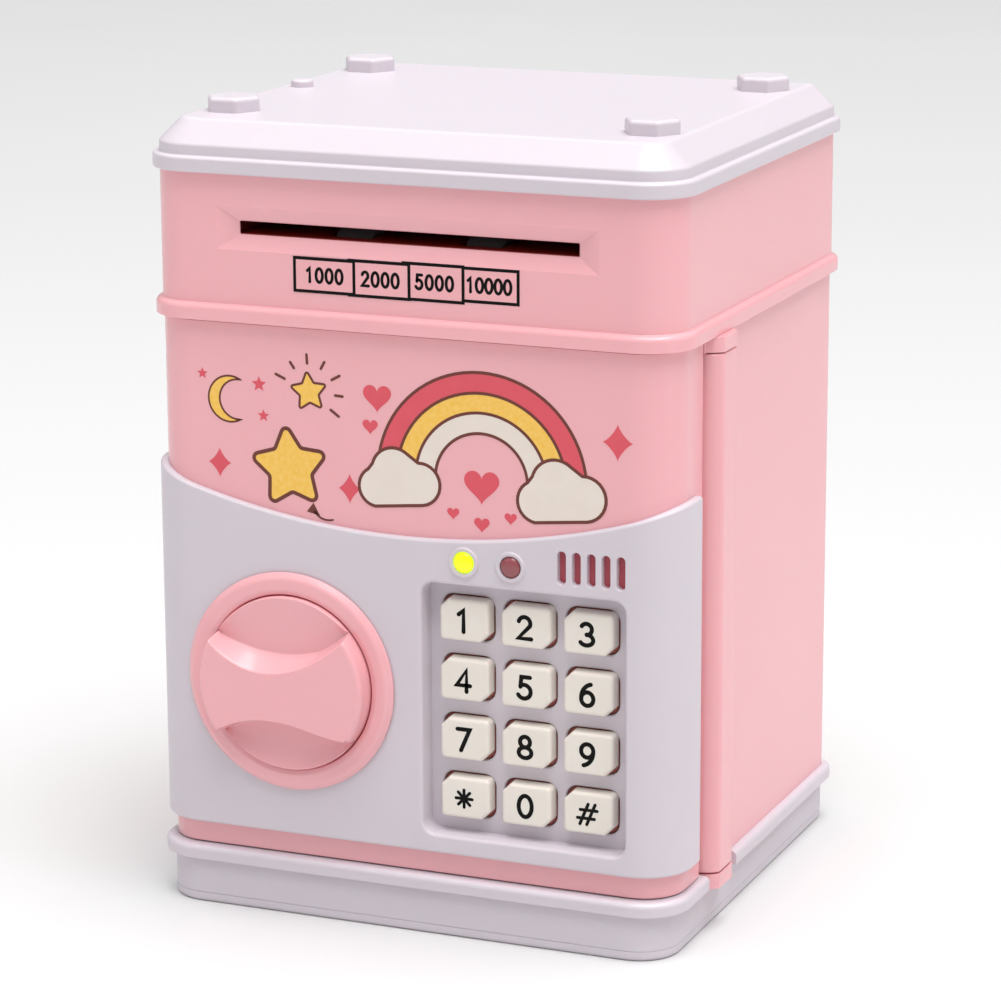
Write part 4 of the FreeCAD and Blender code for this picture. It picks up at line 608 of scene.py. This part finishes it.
def eased_drop(t, ends=0.11):
    """A straight fall from 0 to 1 with a rounded start and finish."""
    t = min(max(t, 0.0), 1.0)
    if t < ends:
        return t * t / (2 * ends * (1 - ends))
    if t > 1 - ends:
        return 1 - (1 - t) ** 2 / (2 * ends * (1 - ends))
    return (t - ends / 2) / (1 - ends)


def knob_height(u, v):
    """The knob's surface above the fascia's face at (u, v) from its axis."""
    if v >= 0:
        crown = 3.0 + (0.0346 if u < -4.5 else 0.022) * (u + 4.5) ** 2
        foot = 7.0 + (0.0116 if u < -1.0 else 0.0174) * (u + 1.0) ** 2
        foot = max(foot, crown + 2.0)
    else:
        crown = 8.1 + (0.0205 * (u + 3.0) ** 2 if u < -3.0 else 3.2 * math.tanh(0.0047 * (u + 3.0) ** 2))
        foot = crown + 1.1
    v = abs(v)
    if v <= crown:
        return KNOB_TALL
    fall = eased_drop((v - crown) / (foot - crown))
    rim_v = math.sqrt(max(KNOB_RADIUS ** 2 - u * u, 0.0))
    reach = min(max((v - foot) / max(rim_v - foot, 0.5), 0.0), 1.0)
    floor = FLOOR_TALL + (RIM_TALL - FLOOR_TALL) * reach ** 2.0
    return KNOB_TALL + (floor - KNOB_TALL) * fall


RADIAL, ROUND = 120, 400
knob_rows = []
for step in range(RADIAL + 1):
    radius = 0.02 + (KNOB_RADIUS - 0.02) * step / RADIAL
    row = []
    for turn in range(ROUND):
        angle = 2 * math.pi * turn / ROUND
        edge = knob_height(KNOB_RADIUS * math.cos(angle), KNOB_RADIUS * math.sin(angle))
        soft = 0.35 + 0.65 * (edge - RIM_TALL) / (KNOB_TALL - RIM_TALL)
        u, v = radius * math.cos(angle), radius * math.sin(angle)
        tall = knob_height(u, v)
        over = radius - (KNOB_RADIUS - soft)
        if over > 0:
            tall = min(tall, edge) - soft + math.sqrt(max(soft * soft - over * over, 0.0))
        row.append((KNOB_X + u, face - tall, KNOB_Z + v))
    knob_rows.append(row)
for tall in (1.2, 0.3):
    knob_rows.append([(x, face - tall, z) for x, _, z in knob_rows[RADIAL]])
knob = skin("knob_grip", knob_rows)
SHAFT_RADIUS = 4.8
shaft_rear = face - span("knob")[1][1]
knob_shaft = lathe("knob_shaft", [(SHAFT_RADIUS, 0.5), (SHAFT_RADIUS, shaft_rear)], knob_axis, steps=48)
knob = joined([knob, knob_shaft])
settled(knob, pink_abs, "knob", ("knob",), 50)


# ---------------------------------------------------------------- note values printed over the slot
# Four overlapping boxes are pad-printed in black on the head, each with the value of one note.

def patch(name, outline, plane, proud):
    """A printed area as a thin solid on a plane facing -Y."""
    return skin(name, [[(u, y, v) for u, v in outline] for y in (plane - proud, plane + 0.03)])


head_face = head_low[1] + LIP_PROUD
VALUE_SQUEEZE, VALUE_SHRINK, VALUE_INK, LAYER = 0.42, 0.56, 0.72, 0.03
label_boxes = (("1000", -26.9, -12.2, 149.0, 156.5), ("2000", -13.4, 1.3, 148.8, 156.7),
               ("5000", -0.1, 14.4, 148.9, 157.0), ("10000", 13.0, 27.6, 149.4, 156.8))
# A film of pink ink hides the box behind. It is as matt as the black ink round it.
pink_ink = finish_of("pink_pad_printed_ink", "EFB0B5", "EAA9AF", 0.36, 6, 0.3, 0.002, IOR=1.5)
for layer, (value, left, right, low, high) in enumerate(label_boxes):
    lift = LAYER * (len(label_boxes) - layer)
    corners = [(left, low), (right, low), (right, high), (left, high)]
    ground = patch("value_ground_" + value, corners, head_face, lift)
    settled(ground, pink_ink, "safe_body", ())
    lines = [stroke("value_line", corners + corners[:1], VALUE_INK, head_face, lift + 0.012)]
    pitch = 2.45 if len(value) == 4 else 2.25
    start = (left + right + 0.6 * (layer > 0)) / 2 - pitch * len(value) / 2
    for count, digit in enumerate(value):
        for line in FIGURES[digit]:
            placed = [(start + pitch * (count + 0.5) + (u - FIGURE_WIDE / 2) * VALUE_SQUEEZE,
                       (low + high) / 2 + (v - FIGURE_TALL / 2) * VALUE_SHRINK) for u, v in line]
            lines.append(stroke("value_line", placed, VALUE_INK, head_face, lift + 0.014))
    print_ = joined(lines)
    print_.name = "value_print_" + value
    settled(print_, black_ink, "safe_body", ())


# ---------------------------------------------------------------- picture printed on the door
# A simple sky picture in pad-printed inks on the door above the fascia: a rainbow with clouds, a
# star balloon, a small star with rays, a crescent, hearts and sparkles. Each colour has its pass.

# Opaque pad-printing inks: flat colour, satin, with the slight mottle of a printed film.
brown_ink = finish_of("brown_pad_printed_ink", "6F3226", "652B20", 0.42, 3, 0.25, 0.002, IOR=1.5)
coral_ink = finish_of("coral_pad_printed_ink", "DF5663", "D94E5C", 0.40, 3, 0.25, 0.002, IOR=1.5)
cream_ink = finish_of("cream_pad_printed_ink", "EADFD5", "E3D6CC", 0.40, 4, 0.25, 0.002, IOR=1.5)
yellow_ink = finish_of("yellow_pad_printed_ink", "F2B411", "F8D27A", 0.42, 1.1, 0.25, 0.003, IOR=1.5)
door_face = door_low[1]
SHAPE_STEPS, SPARKLE_HOLLOW = 40, 2.6
FIRST_PASS, LINE_PASS, OVER_PASS = 0.03, 0.045, 0.05


def star_points(cx, cy, outer, inner, points, turn=90.0):
    """The corners of a star, its first point at turn degrees."""
    spots = []
    for step in range(2 * points):
        radius = outer if step % 2 == 0 else inner
        a = math.radians(turn + 180 * step / points)
        spots.append((cx + radius * math.cos(a), cy + radius * math.sin(a)))
    return spots


def rounded_shape(spots, radius, steps=5):
    """A shape with every corner turned by an arc."""
    return [tuple(p) for p in eased([(u, v, radius) for u, v in spots], steps, True)]


def heart_points(cx, cy, size):
    """A heart of the given width."""
    spots = []
    for step in range(SHAPE_STEPS):
        t = 2 * math.pi * step / SHAPE_STEPS
        tall = 13 * math.cos(t) - 5 * math.cos(2 * t) - 2 * math.cos(3 * t) - math.cos(4 * t)
        spots.append((cx + size / 32 * 16 * math.sin(t) ** 3, cy + size / 32 * tall))
    return spots[::-1]


def sparkle_points(cx, cy, tall, wide):
    """A four-pointed sparkle with hollow sides."""
    spots = []
    for step in range(SHAPE_STEPS):
        t = 2 * math.pi * step / SHAPE_STEPS
        u, v = math.cos(t), math.sin(t)
        spots.append((cx + wide * math.copysign(abs(u) ** SPARKLE_HOLLOW, u),
                      cy + tall * math.copysign(abs(v) ** SPARKLE_HOLLOW, v)))
    return spots


prints = {"brown": [], "coral": [], "cream": [], "yellow": []}


def area(ink, outline, lift):
    """A filled shape in one ink."""
    prints[ink].append(patch("print_part", outline, door_face, lift))


def line(ink, points, wide, lift, closed=False):
    """A printed line in one ink."""
    path = list(points) + ([points[0]] if closed else [])
    prints[ink].append(stroke("print_part", path, wide, door_face, lift))


# small star with short rays
STAR = (-23.9, 125.7)
small_star = rounded_shape(star_points(*STAR, 4.9, 2.5, 5, 96), 0.4)
area("yellow", small_star, FIRST_PASS)
line("brown", small_star, 0.55, LINE_PASS, True)
rays = ((6.6, 9.0), (6.6, 8.4), (6.6, 8.8), (6.4, 8.2), (6.6, 8.6), (6.4, 8.0), (6.6, 9.0))
for step, reach in enumerate(rays):
    a = math.radians(-35 + 32 * step)
    ray = [(STAR[0] + r * math.cos(a), STAR[1] + r * math.sin(a)) for r in reach]
    line("brown", ray, 0.65, LINE_PASS)
# hearts beside the rainbow
for u, v, size in ((-6.9, 125.9, 7.0), (-8.7, 119.0, 3.8)):
    area("coral", heart_points(u, v, size), FIRST_PASS)
# sparkles
for u, v, tall, wide in ((51.2, 120.1, 4.2, 3.6), (-14.0, 103.9, 3.5, 2.8), (-46.9, 107.3, 3.5, 2.9)):
    area("coral", sparkle_points(u, v, tall, wide), FIRST_PASS)
# star balloon, its knot and its string
balloon = rounded_shape(star_points(-29.0, 107.5, 10.6, 5.6, 5, 96), 1.2)
area("yellow", balloon, FIRST_PASS)
line("brown", balloon, 0.9, LINE_PASS, True)
area("brown", [(-24.9, 97.6), (-21.6, 96.9), (-23.2, 99.8)], OVER_PASS)
line("brown", arc(-19.6, 99.0, 3.6, 3.0, 205, 290, 10), 0.45, OVER_PASS)
# rainbow, each band a step above the one outside it
BOW_X, BOW_Z, BOW_FLAT, BOW_BAND = 18.5, 108.5, 0.98, 4.8
for ink, radius, lift in (("coral", 25.2, 0.03), ("yellow", 20.6, 0.036), ("cream", 16.0, 0.042)):
    tall = radius * BOW_FLAT
    outer = arc(BOW_X, BOW_Z, radius, tall, 0, 180, 40)
    inner = arc(BOW_X, BOW_Z, radius - BOW_BAND, tall - BOW_BAND, 180, 0, 40)
    area(ink, outer + inner, lift)
for radius in (25.4, 20.6, 16.0, 11.2):
    line("brown", arc(BOW_X, BOW_Z, radius, radius * BOW_FLAT, 0, 180, 40), 0.7, 0.06)
# a cloud over each foot of the rainbow
CLOUD_Z = 105
CLOUD_PUFFS = ((-5.5, 105.0, 4.6, 262, 120), (-1.5, 109.0, 5.4, 165, 50), (5.0, 106.5, 4.9, 95, -82))
for cloud_x, grow in ((-1.5, 1.0), (38.0, 1.06)):
    puffs = []
    for u, v, radius, start, end in CLOUD_PUFFS:
        puffs += arc(cloud_x + u * grow, CLOUD_Z + (v - CLOUD_Z) * grow, radius * grow, radius * grow,
                     start, end, 14)
    area("cream", puffs, 0.07)
    line("brown", puffs, 0.75, 0.085, True)
# hearts under the rainbow
for u, v, size in ((18.6, 107.6, 8.6), (18.6, 98.6, 3.8), (11.6, 100.6, 3.0), (25.6, 100.6, 3.0)):
    area("coral", heart_points(u, v, size), OVER_PASS)
# crescent and small stars
crescent = arc(-44.0, 122.5, 5.4, 5.4, 60, 300, 24) + arc(-41.9, 122.5, 4.7, 4.7, 280, 80, 20)
area("yellow", crescent, FIRST_PASS)
line("brown", crescent, 0.45, LINE_PASS, True)
for u, v, size in ((-36.5, 126.5, 1.9), (-35.5, 119.2, 1.5), (-50.9, 128.0, 1.4)):
    area("coral", star_points(u, v, size, size * 0.45, 5), FIRST_PASS)
inks = {"brown": brown_ink, "coral": coral_ink, "cream": cream_ink, "yellow": yellow_ink}
for ink, parts in prints.items():
    print_ = joined(parts)
    print_.name = "door_print_" + ink
    settled(print_, inks[ink], "door", ())


# ---------------------------------------------------------------- floor, light and camera
# A pale seamless table under a broad overhead bank, with a narrow softbox on each side that draws
# the highlights along the upright corners.

scene = bpy.context.scene
scene.view_settings.view_transform = "Standard"
floor_mesh = bpy.data.meshes.new("floor")
REACH = 15.0
floor_mesh.from_pydata([(-REACH, -REACH, 0), (REACH, -REACH, 0), (REACH, REACH, 0), (-REACH, REACH, 0)],
                       [], [(0, 1, 2, 3)])
floor = bpy.data.objects.new("floor", floor_mesh)
scene.collection.objects.link(floor)
# Painted board: near white, with a soft sheen that mirrors the foot of the safe a little.
painted_board = finish_of("painted_board", "DCDCDC", "DADADA", 0.14, 400, 3, 0.0, IOR=1.45)
floor.data.materials.append(painted_board)

world = bpy.data.worlds.new("studio")
scene.world = world
world.use_nodes = True
sky = world.node_tree
sky.nodes.clear()
way = add_node(sky, "ShaderNodeTexCoord")
parts_of = add_node(sky, "ShaderNodeSeparateXYZ", links={"Vector": (way, "Generated")})
height = add_node(sky, "ShaderNodeMath", {1: 0.0}, {0: (parts_of, "Z")}, operation="MAXIMUM")
square = add_node(sky, "ShaderNodeMath", {1: 2.0}, {0: (height, "Value")}, operation="POWER")
OVERHEAD_GLOW, HORIZON_GLOW = 0.95, 0.30
glow = add_node(sky, "ShaderNodeMath", {1: OVERHEAD_GLOW, 2: HORIZON_GLOW}, {0: (square, "Value")},
                operation="MULTIPLY_ADD")
dome_light = add_node(sky, "ShaderNodeBackground", {"Color": (1, 1, 1, 1)}, {"Strength": (glow, "Value")})
add_node(sky, "ShaderNodeOutputWorld", links={"Surface": (dome_light, "Background")})


def softbox(name, place, aim, wide, tall, watts):
    """A rectangular soft light at a place in metres, turned towards aim."""
    lamp = bpy.data.lights.new(name, "AREA")
    lamp.shape = "RECTANGLE"
    lamp.size, lamp.size_y, lamp.energy = wide, tall, watts
    holder = bpy.data.objects.new(name, lamp)
    holder.location = place
    holder.rotation_euler = (Vector(place) - Vector(aim)).to_track_quat("Z", "Y").to_euler()
    scene.collection.objects.link(holder)


softbox("strip_right", (1.5, -0.35, 0.55), (0.0, 0.0, 0.09), 0.22, 0.9, 1.3)
softbox("strip_left", (-1.1, -1.3, 0.9), (0.0, 0.0, 0.09), 0.25, 0.9, 1.0)
overhead = bpy.data.lights.new("overhead_bank", "SUN")
overhead.energy = 2.95
overhead.angle = math.radians(50)
overhead_holder = bpy.data.objects.new("overhead_bank", overhead)
overhead_holder.rotation_euler = Vector((0.20, -0.12, 0.93)).to_track_quat("Z", "Y").to_euler()
scene.collection.objects.link(overhead_holder)

azimuth, elevation, roll = (math.radians(v) for v in (22.594, 13.895, -0.267))
back = Vector((math.sin(azimuth) * math.cos(elevation), -math.cos(azimuth) * math.cos(elevation),
               math.sin(elevation)))
right = Vector((math.cos(azimuth), math.sin(azimuth), 0))
up = back.cross(right)
across = right * math.cos(roll) + up * math.sin(roll)
above = up * math.cos(roll) - right * math.sin(roll)
camera = bpy.data.objects.new("camera", bpy.data.cameras.new("camera"))
camera.data.sensor_width = 36.0
camera.data.lens = 136.23
camera.data.clip_end = 30.0
stand = Matrix((across, above, back)).transposed().to_4x4()
stand.translation = (across * -1.394 + above * 86.41 + back * 934.4) * MM
camera.matrix_world = stand
scene.collection.objects.link(camera)
scene.camera = camera
